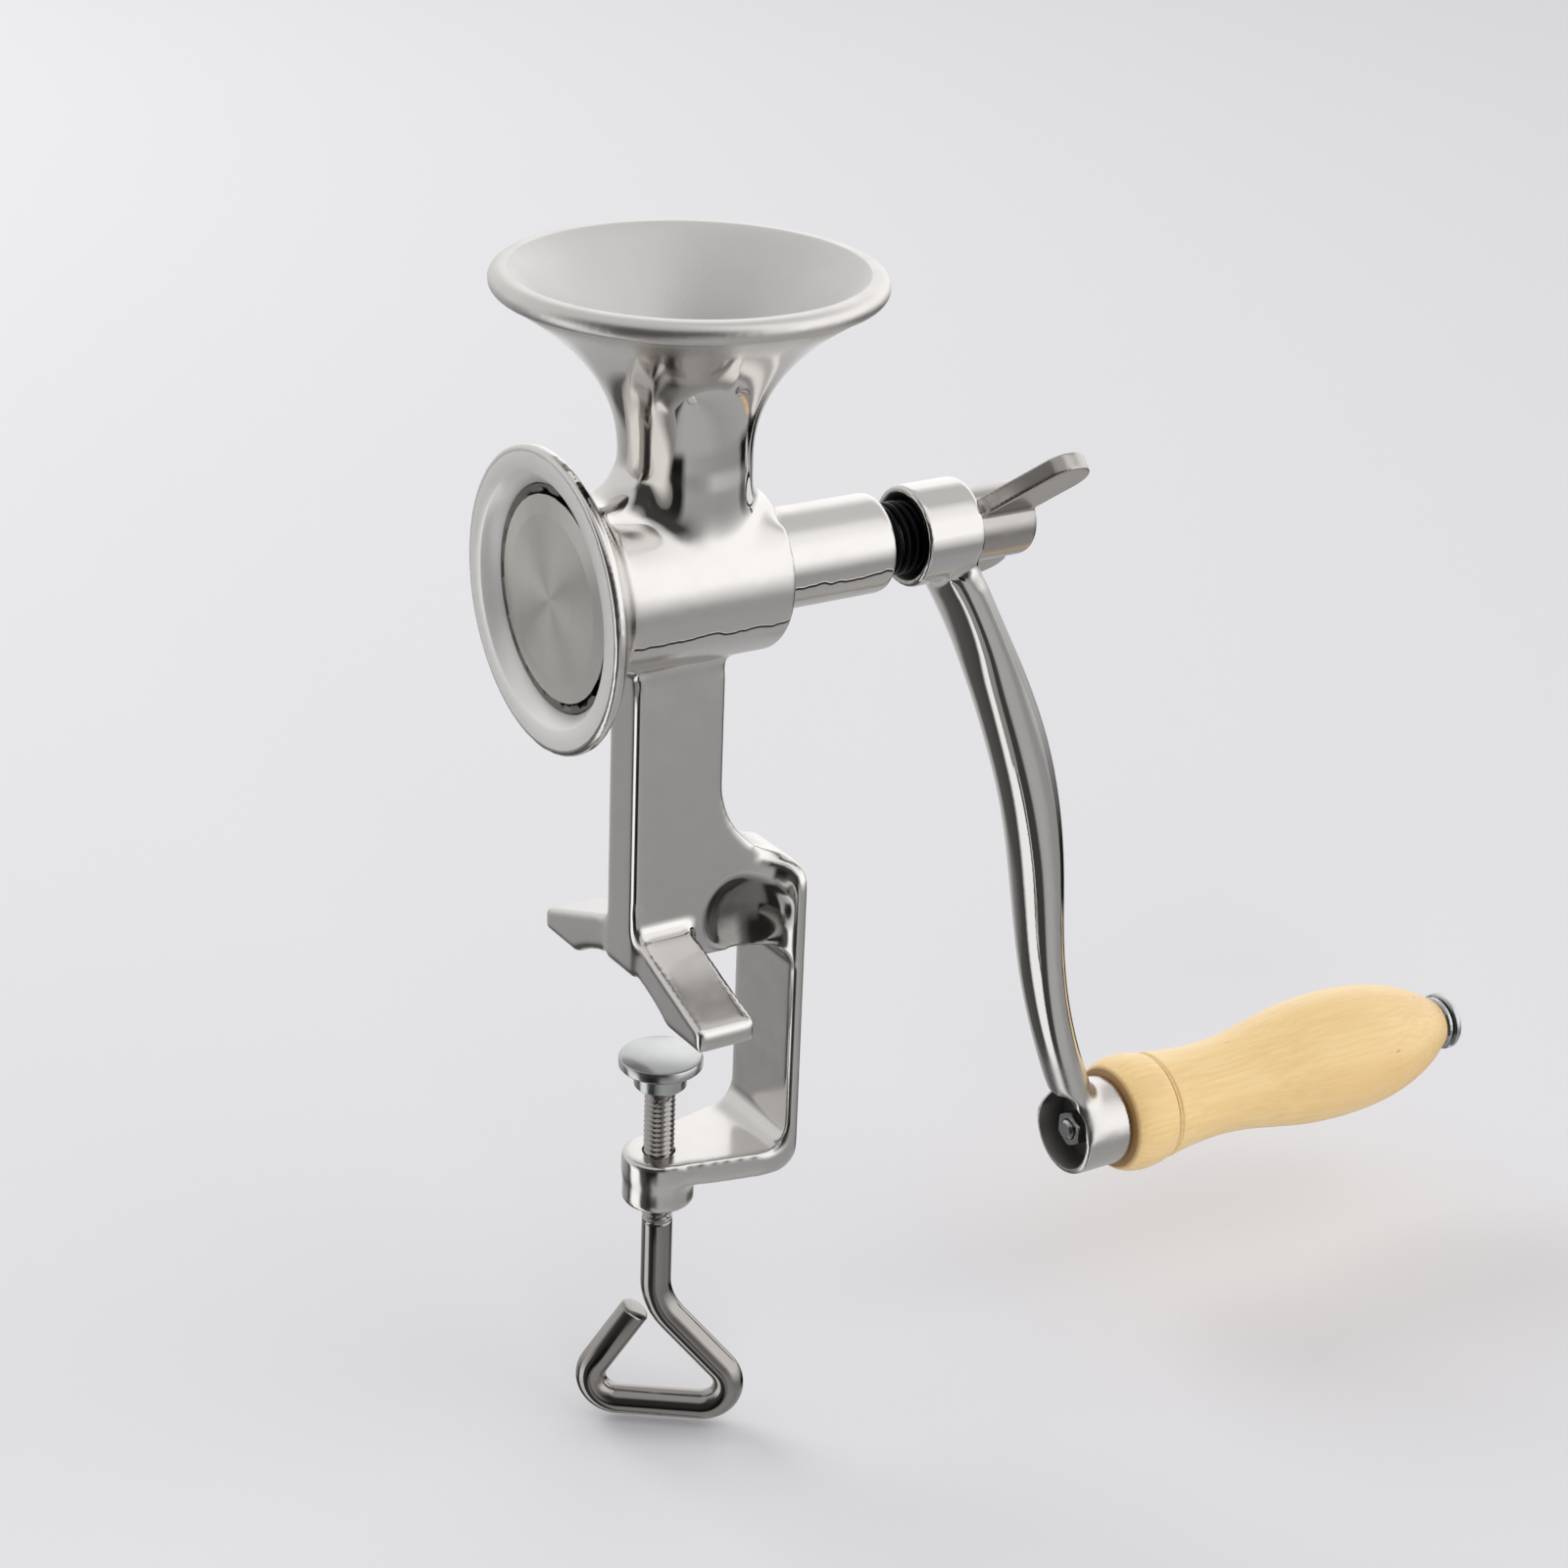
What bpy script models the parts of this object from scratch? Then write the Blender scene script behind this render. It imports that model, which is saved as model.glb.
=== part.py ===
"""Hand grain mill that clamps to a table edge.

A cast body carries the hopper, a short barrel, a dish with a fixed grinding ring, a leg with two
feet and a C-shaped clamp arm. A cranked shaft with a feed worm turns a toothed grinding cone in the
dish. A wing nut behind the crank sets the fineness against a spring, and a bent rod clamps the mill.

Metres, +Z up. X runs along the barrel from the grinding cone to the crank, and the table edge lies
along Y. The origin is on the hopper's axis, on the tabletop under the feet.
"""
import bmesh
import bpy
from math import asin, atan2, cos, hypot, pi, radians, sin, sqrt, tan
from mathutils import Matrix, Vector

# Clearances and cuts
GAP = 0.0003
OVERRUN = 0.002
EDGE_ROUNDING = 0.0008
WELD_DISTANCE = 0.000004

# Heights and lengths of the body along its axes
AXIS_HEIGHT = 0.0944
HOPPER_RISE = 0.0666
THROAT_RISE = 0.0268
LIP_SETBACK = 0.0339
SHOULDER_SETBACK = 0.01725
NECK_LENGTH = 0.03055

# Hopper
RIM_RADIUS = 0.0410
RIM_WALL = 0.0060
RIM_EDGE_ROUNDING = 0.0014
RIM_UNDERCUT = 0.0020
RIM_BEAD_HEIGHT = 0.0050
RIM_INNER_ROUNDING = 0.0012
THROAT_RADIUS = 0.0142
THROAT_FLARE_RADIUS = 0.0162
THROAT_BORE_RADIUS = 0.0102
TRUMPET_POWER_SHARE = 2.27
CAVITY_POWER_SHARE = 1.9

# Barrel, neck and dish
BARREL_RADIUS = 0.0183
BARREL_BORE_RADIUS = 0.0140
BARREL_END_WALL = 0.0045
NECK_RADIUS = 0.0110
NECK_END_ROUNDING = 0.0016
NECK_ROOT_FILLET = 0.0012
DISH_RADIUS = 0.0326
DISH_RIM_THICKNESS = 0.0027
DISH_RIM_ROUNDING = 0.0009
DISH_LIP_RADIUS = 0.0267
DISH_CONE_DEPTH = 0.0032
DISH_BACK_LENGTH = 0.0092
DISH_BACK_FILLET = 0.0016
SADDLE_RADIUS = 0.0088
SADDLE_WIDTH = 0.0150

# Grinding ring and cone
RING_RADIUS = 0.0240
RING_BAND_LENGTH = 0.0020
RING_BACK_LENGTH = 0.0045
RING_BACK_RADIUS = 0.0161
RING_MOUTH_LAND = 0.0005
RING_THROAT_RADIUS = 0.0138
TOOTH_COUNT = 18
TOOTH_DEPTH = 0.0009
GRINDING_GAP = 0.0004
CONE_FACE_RECESS = 0.0027
CONE_FACE_RADIUS = 0.0178
CONE_DOME = 0.0005
CONE_HUB_RADIUS = 0.0092
CONE_HUB_LENGTH = 0.0078
CONE_WALL = 0.0030

# Shaft, worm and pins
SHAFT_RADIUS = 0.0055
SHAFT_SQUARE = 0.0080
SHAFT_THREAD_RADIUS = 0.00395
SHAFT_END_INSET = 0.0022
SHAFT_CHAMFER = 0.0006
WORM_CORE_RADIUS = 0.0078
WORM_FLIGHT_RADIUS = 0.0133
WORM_PITCH = 0.0150
THRUST_WASHER_THICKNESS = 0.0010
THRUST_WASHER_RADIUS = 0.0125
PIN_RADIUS = 0.0015
BUSH_WALL = 0.0018
BUSH_RECESS = 0.0004

# Spring between the neck and the crank
SPRING_WIRE_RADIUS = 0.0009
SPRING_COIL_RADIUS = 0.0073
SPRING_TURNS = 5.5
SPRING_GAP = 0.0077
SETTING_TRAVEL = 0.0025

# Crank
BOSS_LENGTH = 0.0148
BOSS_RADIUS = 0.0113
BOSS_CHAMFER = 0.0009
BOSS_POCKET_RADIUS = 0.0095
BOSS_POCKET_DEPTH = 0.0070
CRANK_THROW = 0.1641
CRANK_REACH = 0.05645
ARM_TOP_LEAN = radians(30.8)
ARM_TOP_PULL = 0.1073
ARM_EYE_LEAN = radians(26.0)
ARM_EYE_PULL = 0.0799
ARM_HALF_WIDTH = 0.0080
ARM_HALF_THICKNESS = 0.0045
EYE_RADIUS = 0.01115
EYE_LENGTH = 0.0134
EYE_RIM = 0.0015
EYE_POCKET_DEPTH = 0.0075

# Wing nut
NUT_LENGTH = 0.0159
NUT_RADIUS = 0.0083
NUT_ROUNDING = 0.0016
WING_TIP_RADIUS = 0.0062
WING_TIP_REACH = 0.0200
WING_TIP_OFFSET = 0.0161
WING_ROOT_RADIUS = 0.0076
WING_THICKNESS = 0.0043
WING_CLEARANCE = 0.0004
WING_TILT = radians(45.0)

# Grip and its bolt
GRIP_LENGTH = 0.1059
GRIP_RADIUS = 0.0163
SLEEVE_RADIUS = 0.0040
BOLT_RADIUS = 0.0024
BOLT_HEAD_RADIUS = 0.0074
BOLT_HEAD_HEIGHT = 0.0042
HEAD_DOME_SHARE = 0.55
END_WASHER_RADIUS = 0.0068
END_WASHER_THICKNESS = 0.0016
LOCK_WASHER_THICKNESS = 0.0010
HANDLE_NUT_FLATS = 0.0080
HANDLE_NUT_HEIGHT = 0.0040
BOLT_END_STANDOUT = 0.0012

# Leg, feet, web and clamp arm
LEG_FRONT = 0.0138
LEG_BACK = 0.0081
LEG_WIDTH = 0.0126
LEG_BEND_HEIGHT = 0.0480
WEB_BEND_RADIUS = 0.0207
WEB_BEND_SWEEP = 70
WEB_UNDERSIDE = 0.0060
WEB_CORNER_RADIUS = 0.0040
SCOOP_SETBACK = 0.0125
SCOOP_HEIGHT = 0.0150
SCOOP_HALF_LENGTH = 0.0110
SCOOP_HALF_WIDTH = 0.0095
SCOOP_HALF_HEIGHT = 0.0120
SCOOP_DEPTH = 0.0033
ARM_INNER_FACE = 0.0238
ARM_THICKNESS = 0.0032
ARM_WIDTH = 0.0262
ARM_SHOULDER_RADIUS = 0.0050
ARM_TOP_HEIGHT = 0.0272
ARM_TOP_ROUNDING = 0.0066
ARM_BLEND_LENGTH = 0.0108
FOOT_SPAN = 0.0694
FOOT_LENGTH = 0.0141
FOOT_END_HEIGHT = 0.0052
FOOT_ROOT_HEIGHT = 0.0146
FOOT_ROOT_FILLET = 0.0040
ARCH_SPAN = 0.0400
ARCH_HEIGHT = 0.0063
JAW_DEPTH = 0.0435
JAW_THICKNESS = 0.0062
JAW_CORNER_RADIUS = 0.0060
JAW_BOSS_RADIUS = 0.0085
JAW_BOSS_LENGTH = 0.0125

# Clamp screw and pad
SCREW_SETBACK = 0.0024
ROD_RADIUS = 0.00355
BOARD_THICKNESS = 0.0191
PAD_RADIUS = 0.0095
PAD_THICKNESS = 0.0026
PAD_HUB_RADIUS = 0.0062
PAD_HUB_LENGTH = 0.0052
BALL_RADIUS = 0.0032
BALL_NECK_RADIUS = 0.0021
LOOP_BEND_DROP = 0.0640
LOOP_BOTTOM_DROP = 0.0919
LOOP_BEND_RADIUS = 0.0150
LOOP_CORNER_RADIUS = 0.0065
LOOP_NEAR_ANGLE = radians(43.0)
LOOP_FAR_ANGLE = radians(31.5)
LOOP_FAR_OFFSET = 0.0198
LOOP_END_CLEARANCE = 0.0013
LOOP_TURN = radians(-36.0)

# Facets round a full circle
FINE = 44
MEDIUM = 28
COARSE = 16
RING_STEPS = 4

# Positions that follow from the sizes above
HOPPER_TOP = AXIS_HEIGHT + HOPPER_RISE
RIM_LAND_RADIUS = RIM_RADIUS - RIM_EDGE_ROUNDING
RIM_INNER_RADIUS = RIM_RADIUS - RIM_WALL
RIM_UNDERSIDE_RADIUS = RIM_RADIUS - RIM_UNDERCUT
THROAT_HEIGHT = AXIS_HEIGHT + THROAT_RISE
NECK_END = SHOULDER_SETBACK + NECK_LENGTH
DISH_REAR = -LIP_SETBACK + DISH_RIM_THICKNESS
SEAT_FRONT = -LIP_SETBACK + DISH_CONE_DEPTH
SEAT_RADIUS = RING_RADIUS + GAP
RING_FRONT = SEAT_FRONT + GAP
RING_BAND_END = RING_FRONT + RING_BAND_LENGTH
RING_END = RING_BAND_END + RING_BACK_LENGTH
RING_MOUTH_RADIUS = RING_RADIUS - RING_MOUTH_LAND - TOOTH_DEPTH
RING_SLOPE = (RING_MOUTH_RADIUS - RING_THROAT_RADIUS) / (RING_END - RING_FRONT)
CONE_FACE = -LIP_SETBACK + CONE_FACE_RECESS
CONE_HUB_END = RING_END + CONE_HUB_LENGTH
BUSH_RADIUS = SHAFT_RADIUS + GAP + BUSH_WALL
NECK_BORE_RADIUS = BUSH_RADIUS + GAP
BOSS_START = NECK_END + SPRING_GAP
BOSS_END = BOSS_START + BOSS_LENGTH
BOSS_FLOOR = BOSS_START + BOSS_POCKET_DEPTH
NUT_START = BOSS_END + GAP
NUT_END = NUT_START + NUT_LENGTH
BOSS_MIDDLE = BOSS_START + BOSS_LENGTH / 2
EYE_MIDDLE = BOSS_MIDDLE + CRANK_REACH
EYE_START = EYE_MIDDLE - EYE_LENGTH / 2
EYE_END = EYE_MIDDLE + EYE_LENGTH / 2
EYE_FLOOR = EYE_START + EYE_POCKET_DEPTH
EYE_HEIGHT = AXIS_HEIGHT - CRANK_THROW
GRIP_START = EYE_END + GAP
GRIP_END = GRIP_START + GRIP_LENGTH
ARM_OUTER_FACE = ARM_INNER_FACE + ARM_THICKNESS
JAW_BOTTOM = JAW_DEPTH + JAW_THICKNESS
PAD_TOP = -BOARD_THICKNESS
BALL_HEIGHT = PAD_TOP - PAD_THICKNESS - BALL_RADIUS

# Outline of the grip: place along it, and radius, as shares of its length and greatest radius
GRIP_SHARES = [
    (0.000, 0.765), (0.012, 0.835), (0.032, 0.880), (0.058, 0.897), (0.090, 0.880), (0.116, 0.838),
    (0.124, 0.795), (0.132, 0.828), (0.200, 0.768), (0.290, 0.735), (0.380, 0.775), (0.470, 0.875),
    (0.560, 0.968), (0.650, 1.000), (0.740, 0.982), (0.820, 0.908), (0.890, 0.780), (0.945, 0.625),
    (0.985, 0.470), (1.000, 0.410),
]

# Width and thickness of the crank arm along its length, as shares of its middle section
ARM_SECTION_SHARES = [
    (0.026, 1.36, 1.20), (0.048, 1.36, 1.16), (0.075, 1.32, 1.14), (0.110, 1.26, 1.18),
    (0.170, 1.18, 1.34), (0.260, 1.16, 1.42), (0.380, 1.12, 1.34), (0.500, 1.08, 1.22),
    (0.620, 1.00, 1.10), (0.740, 0.92, 1.04), (0.840, 0.86, 1.02), (0.895, 0.84, 1.02),
    (0.935, 0.84, 1.06), (0.960, 0.86, 1.10), (0.990, 0.86, 1.10),
]


def clear_scene():
    for item in list(bpy.data.objects):
        bpy.data.objects.remove(item, do_unlink=True)


def make_material(name, colour, roughness, metallic):
    """One Principled material, with its colour as linear red, green and blue."""
    look = bpy.data.materials.new(name)
    look.use_nodes = True
    shader = look.node_tree.nodes["Principled BSDF"]
    shader.inputs["Base Color"].default_value = (*colour, 1.0)
    shader.inputs["Roughness"].default_value = roughness
    shader.inputs["Metallic"].default_value = metallic
    look.diffuse_color = (*colour, 1.0)
    return look


def polished_steel(name):
    return make_material(name, (0.62, 0.61, 0.60), 0.12, 1.0)


def satin_steel(name):
    return make_material(name, (0.52, 0.51, 0.50), 0.38, 1.0)


def zinc_plate(name):
    return make_material(name, (0.58, 0.59, 0.60), 0.25, 1.0)


def black_steel(name):
    return make_material(name, (0.02, 0.02, 0.022), 0.35, 0.8)


def bronze(name):
    return make_material(name, (0.45, 0.27, 0.11), 0.35, 1.0)


def varnished_wood(name):
    return make_material(name, (0.76, 0.58, 0.30), 0.42, 0.0)


def axis_empty(name, place, turn=(0.0, 0.0, 0.0)):
    """An empty on a joint's axis, which carries the pieces that move about it."""
    holder = bpy.data.objects.new(name, None)
    bpy.context.collection.objects.link(holder)
    holder.location = place
    holder.rotation_euler = turn
    return holder


def mesh_object(name, points, faces):
    """A closed mesh object whose faces point out."""
    data = bpy.data.meshes.new(name)
    data.from_pydata([tuple(p) for p in points], [], faces)
    shape = bmesh.new()
    shape.from_mesh(data)
    bmesh.ops.recalc_face_normals(shape, faces=shape.faces)
    if shape.calc_volume(signed=True) < 0:
        bmesh.ops.reverse_faces(shape, faces=shape.faces)
    shape.to_mesh(data)
    shape.free()
    item = bpy.data.objects.new(name, data)
    bpy.context.collection.objects.link(item)
    return item


def finish(item, finish_material, parent=None):
    """Gives a piece its material, its shading and what it hangs on."""
    item.data.materials.clear()
    item.data.materials.append(finish_material)
    item.data.shade_smooth()
    item.data.set_sharp_from_angle(angle=radians(35))
    if parent is not None:
        item.parent = parent
    return item


def combine(base, tool, operation):
    """Applies a Boolean to base and removes the tool."""
    change = base.modifiers.new("combine", "BOOLEAN")
    change.operation = operation
    change.solver = "EXACT"
    change.object = tool
    bpy.context.view_layer.update()
    graph = bpy.context.evaluated_depsgraph_get()
    result = bpy.data.meshes.new_from_object(base.evaluated_get(graph), depsgraph=graph)
    base.modifiers.clear()
    shape = bmesh.new()
    shape.from_mesh(result)
    bmesh.ops.remove_doubles(shape, verts=shape.verts, dist=WELD_DISTANCE)
    bmesh.ops.dissolve_degenerate(shape, dist=WELD_DISTANCE, edges=shape.edges)
    shape.to_mesh(result)
    shape.free()
    base.data = result
    bpy.data.objects.remove(tool, do_unlink=True)
    return base


def rings_object(name, rings, closed=False):
    """Skins rings of equal point counts. A ring of one point is a pole. Ends are capped."""
    points = []
    starts = []
    for ring in rings:
        starts.append(len(points))
        points.extend(ring)
    faces = []
    pairs = list(zip(range(len(rings) - 1), range(1, len(rings))))
    if closed:
        pairs.append((len(rings) - 1, 0))
    for low, high in pairs:
        a, b = starts[low], starts[high]
        na, nb = len(rings[low]), len(rings[high])
        count = max(na, nb)
        for i in range(count):
            j = (i + 1) % count
            if na == 1:
                faces.append((a, b + i, b + j))
            elif nb == 1:
                faces.append((a + i, b, a + j))
            else:
                faces.append((a + i, b + i, b + j, a + j))
    if not closed:
        for index in (0, -1):
            if len(rings[index]) > 1:
                faces.append(tuple(range(starts[index], starts[index] + len(rings[index]))))
    return mesh_object(name, points, faces)


def around_x(x, radius, angle):
    return Vector((x, radius * cos(angle), radius * sin(angle)))


def around_z(z, radius, angle):
    return Vector((radius * cos(angle), radius * sin(angle), z))


def turned(name, outline, facets, place, closed=False):
    """Turns an outline of (distance along the axis, radius) about X or Z."""
    phase = 0.5 if place is around_x else 0.0
    rings = []
    for along, radius in outline:
        if radius == 0:
            rings.append([place(along, 0, 0)])
        else:
            rings.append([place(along, radius, 2 * pi * (i + phase) / facets) for i in range(facets)])
    return rings_object(name, rings, closed)


def arc(centre_u, centre_v, radius, start, end, steps):
    """Points on an arc, with angles in degrees."""
    points = []
    for i in range(steps + 1):
        angle = radians(start + (end - start) * i / steps)
        points.append((centre_u + radius * cos(angle), centre_v + radius * sin(angle)))
    return points


def rounded_path(corners, radii, steps, closed=False):
    """A path through corners, each rounded by an arc of its radius."""
    count = len(corners)
    path = []
    for i, corner in enumerate(corners):
        radius = radii[i]
        if radius == 0 or (not closed and i in (0, count - 1)):
            path.append(tuple(corner))
            continue
        here = Vector(corner)
        back = (Vector(corners[i - 1]) - here).normalized()
        ahead = (Vector(corners[(i + 1) % count]) - here).normalized()
        half = back.angle(ahead) / 2
        middle = (back + ahead).normalized()
        centre = here + middle * (radius / sin(half))
        start = here + back * (radius / tan(half)) - centre
        end = here + ahead * (radius / tan(half)) - centre
        sweep = start.angle_signed(end)
        for k in range(steps + 1):
            turn = -sweep * k / steps
            offset = Vector((start.x * cos(turn) - start.y * sin(turn),
                             start.x * sin(turn) + start.y * cos(turn)))
            path.append(tuple(centre + offset))
    return path


def prism(name, outline, low, high, order):
    """Extrudes an outline between two levels. The order names its two axes and then the level's."""
    rings = []
    for level in (low, high):
        ring = []
        for u, v in outline:
            place = {order[0]: u, order[1]: v, order[2]: level}
            ring.append(Vector((place["x"], place["y"], place["z"])))
        rings.append(ring)
    return rings_object(name, rings)


def round_edges(item, width, segments=1, limit=radians(40)):
    """Rounds the edges of a piece that turn by more than the limit."""
    change = item.modifiers.new("round edges", "BEVEL")
    change.width = width
    change.segments = segments
    change.limit_method = "ANGLE"
    change.angle_limit = limit
    bpy.context.view_layer.update()
    graph = bpy.context.evaluated_depsgraph_get()
    result = bpy.data.meshes.new_from_object(item.evaluated_get(graph), depsgraph=graph)
    item.modifiers.clear()
    item.data = result
    return item


def place_mesh(item, matrix):
    """Moves a piece's mesh within its own frame."""
    item.data.transform(matrix)
    return item


def trumpet_radius(height, low_radius, high_radius, low, high, power_share):
    """The flaring radius of the hopper at a height."""
    share = max(0.0, (height - low) / (high - low))
    return low_radius + (high_radius - low_radius) * share ** power_share


def hopper_shell():
    """The trumpet-shaped outside of the hopper with its rolled rim."""
    under = HOPPER_TOP - RIM_BEAD_HEIGHT
    bead_drop = RIM_BEAD_HEIGHT / 2
    outline = [(HOPPER_TOP, 0), (HOPPER_TOP, RIM_LAND_RADIUS)]
    edge = RIM_EDGE_ROUNDING
    outline += [(HOPPER_TOP - edge * (1 - sin(a)), RIM_LAND_RADIUS + edge * cos(a))
                for a in (radians(50), radians(10))]
    outline.append((HOPPER_TOP - bead_drop, RIM_RADIUS))
    outline.append((under + bead_drop / 2, (RIM_RADIUS + RIM_UNDERSIDE_RADIUS) / 2))
    steps = 12
    for i in range(steps + 1):
        height = under + (THROAT_HEIGHT - under) * i / steps
        radius = trumpet_radius(height, THROAT_RADIUS, RIM_UNDERSIDE_RADIUS,
                                THROAT_HEIGHT, under, TRUMPET_POWER_SHARE)
        outline.append((height, radius))
    flare_low = AXIS_HEIGHT + BARREL_RADIUS * cos(asin(min(0.95, THROAT_RADIUS / BARREL_RADIUS)))
    outline.append(((THROAT_HEIGHT + AXIS_HEIGHT + BARREL_RADIUS) / 2,
                    (THROAT_RADIUS * 3 + THROAT_FLARE_RADIUS) / 4))
    outline.append((AXIS_HEIGHT + BARREL_RADIUS + EDGE_ROUNDING / 2,
                    (THROAT_RADIUS + THROAT_FLARE_RADIUS) / 2))
    outline.append((flare_low, THROAT_FLARE_RADIUS))
    outline.append((AXIS_HEIGHT, THROAT_FLARE_RADIUS))
    outline.append((AXIS_HEIGHT, 0))
    return turned("hopper shell", outline, FINE, around_z)


def hopper_cavity():
    """The space that the grain fills, down to the barrel."""
    top = HOPPER_TOP - RIM_INNER_ROUNDING
    outline = [(HOPPER_TOP + OVERRUN, 0), (HOPPER_TOP + OVERRUN, RIM_INNER_RADIUS + OVERRUN)]
    outline.append((HOPPER_TOP, RIM_INNER_RADIUS + RIM_INNER_ROUNDING / 2))
    steps = 9
    for i in range(steps + 1):
        height = top + (THROAT_HEIGHT - top) * i / steps
        radius = trumpet_radius(height, THROAT_BORE_RADIUS, RIM_INNER_RADIUS,
                                THROAT_HEIGHT, top, CAVITY_POWER_SHARE)
        outline.append((height, radius))
    outline.append((AXIS_HEIGHT + OVERRUN, THROAT_BORE_RADIUS))
    outline.append((AXIS_HEIGHT + OVERRUN, 0))
    return turned("hopper cavity", outline, FINE, around_z)


def barrel_shell():
    """Dish, barrel and neck, turned about the barrel's axis."""
    r = DISH_RIM_ROUNDING
    back_end = DISH_REAR + DISH_BACK_LENGTH
    outline = [(-LIP_SETBACK, 0)]
    outline += [(-LIP_SETBACK + r * (1 - cos(a)), DISH_RADIUS - r * (1 - sin(a)))
                for a in (0, pi / 4, pi / 2)]
    outline += [(DISH_REAR - r, DISH_RADIUS)]
    outline += [(DISH_REAR, DISH_RADIUS - r)]
    outline += [(back_end - DISH_BACK_FILLET, BARREL_RADIUS + DISH_BACK_FILLET),
                (back_end, BARREL_RADIUS + DISH_BACK_FILLET / 4),
                (back_end + DISH_BACK_FILLET, BARREL_RADIUS)]
    outline += [(SHOULDER_SETBACK - EDGE_ROUNDING, BARREL_RADIUS),
                (SHOULDER_SETBACK, BARREL_RADIUS - EDGE_ROUNDING)]
    outline += [(SHOULDER_SETBACK, NECK_RADIUS + NECK_ROOT_FILLET),
                (SHOULDER_SETBACK + NECK_ROOT_FILLET, NECK_RADIUS)]
    outline += [(NECK_END - NECK_END_ROUNDING + NECK_END_ROUNDING * sin(a),
                 NECK_RADIUS - NECK_END_ROUNDING + NECK_END_ROUNDING * cos(a))
                for a in (0, pi / 4, pi / 2)]
    outline.append((NECK_END, 0))
    item = turned("barrel shell", outline, FINE, around_x)
    return place_mesh(item, Matrix.Translation((0, 0, AXIS_HEIGHT)))


def barrel_cavity():
    """Recess of the dish, seat of the grinding ring, barrel bore and neck bore."""
    seat_back = RING_BAND_END + GAP
    slope_end = RING_END + GAP
    outline = [(-LIP_SETBACK - OVERRUN, 0), (-LIP_SETBACK - OVERRUN, DISH_LIP_RADIUS + OVERRUN * 0.75)]
    outline += [(-LIP_SETBACK, DISH_LIP_RADIUS), (SEAT_FRONT, SEAT_RADIUS)]
    outline += [(seat_back, SEAT_RADIUS), (slope_end, RING_BACK_RADIUS + GAP)]
    outline += [(slope_end, BARREL_BORE_RADIUS)]
    outline += [(SHOULDER_SETBACK - BARREL_END_WALL, BARREL_BORE_RADIUS)]
    outline += [(SHOULDER_SETBACK - BARREL_END_WALL, NECK_BORE_RADIUS)]
    outline += [(NECK_END + OVERRUN, NECK_BORE_RADIUS), (NECK_END + OVERRUN, 0)]
    item = turned("barrel cavity", outline, FINE, around_x)
    return place_mesh(item, Matrix.Translation((0, 0, AXIS_HEIGHT)))


def saddle():
    """The filled corner between the throat and the back of the dish."""
    base = AXIS_HEIGHT + BARREL_RADIUS * 0.8
    right = -THROAT_RADIUS * 0.6
    left = DISH_REAR + DISH_RIM_THICKNESS
    top = AXIS_HEIGHT + BARREL_RADIUS + SADDLE_RADIUS * 0.75
    centre_u = -THROAT_RADIUS - SADDLE_RADIUS * 0.88
    centre_v = AXIS_HEIGHT + BARREL_RADIUS + SADDLE_RADIUS * 1.24
    outline = [(right, base), (right, top)]
    outline += arc(centre_u, centre_v, SADDLE_RADIUS, -25, -110, 6)
    outline.append((left, base))
    half = SADDLE_WIDTH / 2
    return prism("saddle", outline, -half, half, "xzy")


def leg_and_web():
    """Leg, curved web and the top of the clamp arm, as one outline crossed by a plan."""
    top = AXIS_HEIGHT
    bend_u = LEG_BACK + WEB_BEND_RADIUS
    outline = [(-LEG_FRONT, FOOT_END_HEIGHT), (-LEG_FRONT, top), (LEG_BACK, top)]
    outline += arc(bend_u, LEG_BEND_HEIGHT, WEB_BEND_RADIUS, 180, 180 + WEB_BEND_SWEEP, 8)
    # The web runs on straight from its bend and turns down into the arm's outer face
    bend_end = outline.pop()
    fall = (ARM_OUTER_FACE - bend_end[0]) * tan(radians(90 - WEB_BEND_SWEEP))
    shoulder = (ARM_OUTER_FACE, bend_end[1] - fall)
    outline += rounded_path([bend_end, shoulder, (ARM_OUTER_FACE, 0)], [0, ARM_SHOULDER_RADIUS, 0], 5)
    outline.append((ARM_INNER_FACE, 0))
    corner = WEB_CORNER_RADIUS
    outline += arc(ARM_INNER_FACE - corner, WEB_UNDERSIDE - corner, corner, 0, 90, 4)
    outline.append((-LEG_FRONT + FOOT_LENGTH, WEB_UNDERSIDE + EDGE_ROUNDING))
    side = prism("leg side view", outline, -ARM_WIDTH, ARM_WIDTH, "xzy")
    half_leg = LEG_WIDTH / 2
    half_arm = ARM_WIDTH / 2
    blend_start = ARM_INNER_FACE - ARM_BLEND_LENGTH
    blend_rise = half_arm - half_leg
    upper = [(-LEG_FRONT - OVERRUN, half_leg)]
    for i in range(7):
        angle = pi / 2 * i / 6
        upper.append((blend_start + ARM_BLEND_LENGTH * sin(angle),
                      half_leg + blend_rise * (1 - cos(angle))))
    upper.append((ARM_OUTER_FACE + OVERRUN, half_arm))
    plan = upper + [(u, -v) for u, v in reversed(upper)]
    plan_solid = prism("leg plan view", plan, -OVERRUN, top + OVERRUN, "xyz")
    combine(side, plan_solid, "INTERSECT")
    return side


def arm_corner_cutters():
    """Round off the two upper corners of the clamp arm."""
    cutters = []
    half = ARM_WIDTH / 2
    r = ARM_TOP_ROUNDING
    for side in (-1, 1):
        outline = [(side * (half - r), ARM_TOP_HEIGHT + OVERRUN)]
        for i in range(7):
            angle = pi / 2 * i / 6
            outline.append((side * (half - r + r * sin(angle)), ARM_TOP_HEIGHT - r + r * cos(angle)))
        outline.append((side * (half + OVERRUN), ARM_TOP_HEIGHT - r))
        outline.append((side * (half + OVERRUN), ARM_TOP_HEIGHT + OVERRUN))
        cutters.append(prism("arm corner", outline, LEG_BACK, ARM_OUTER_FACE + OVERRUN, "yzx"))
    return cutters


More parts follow.
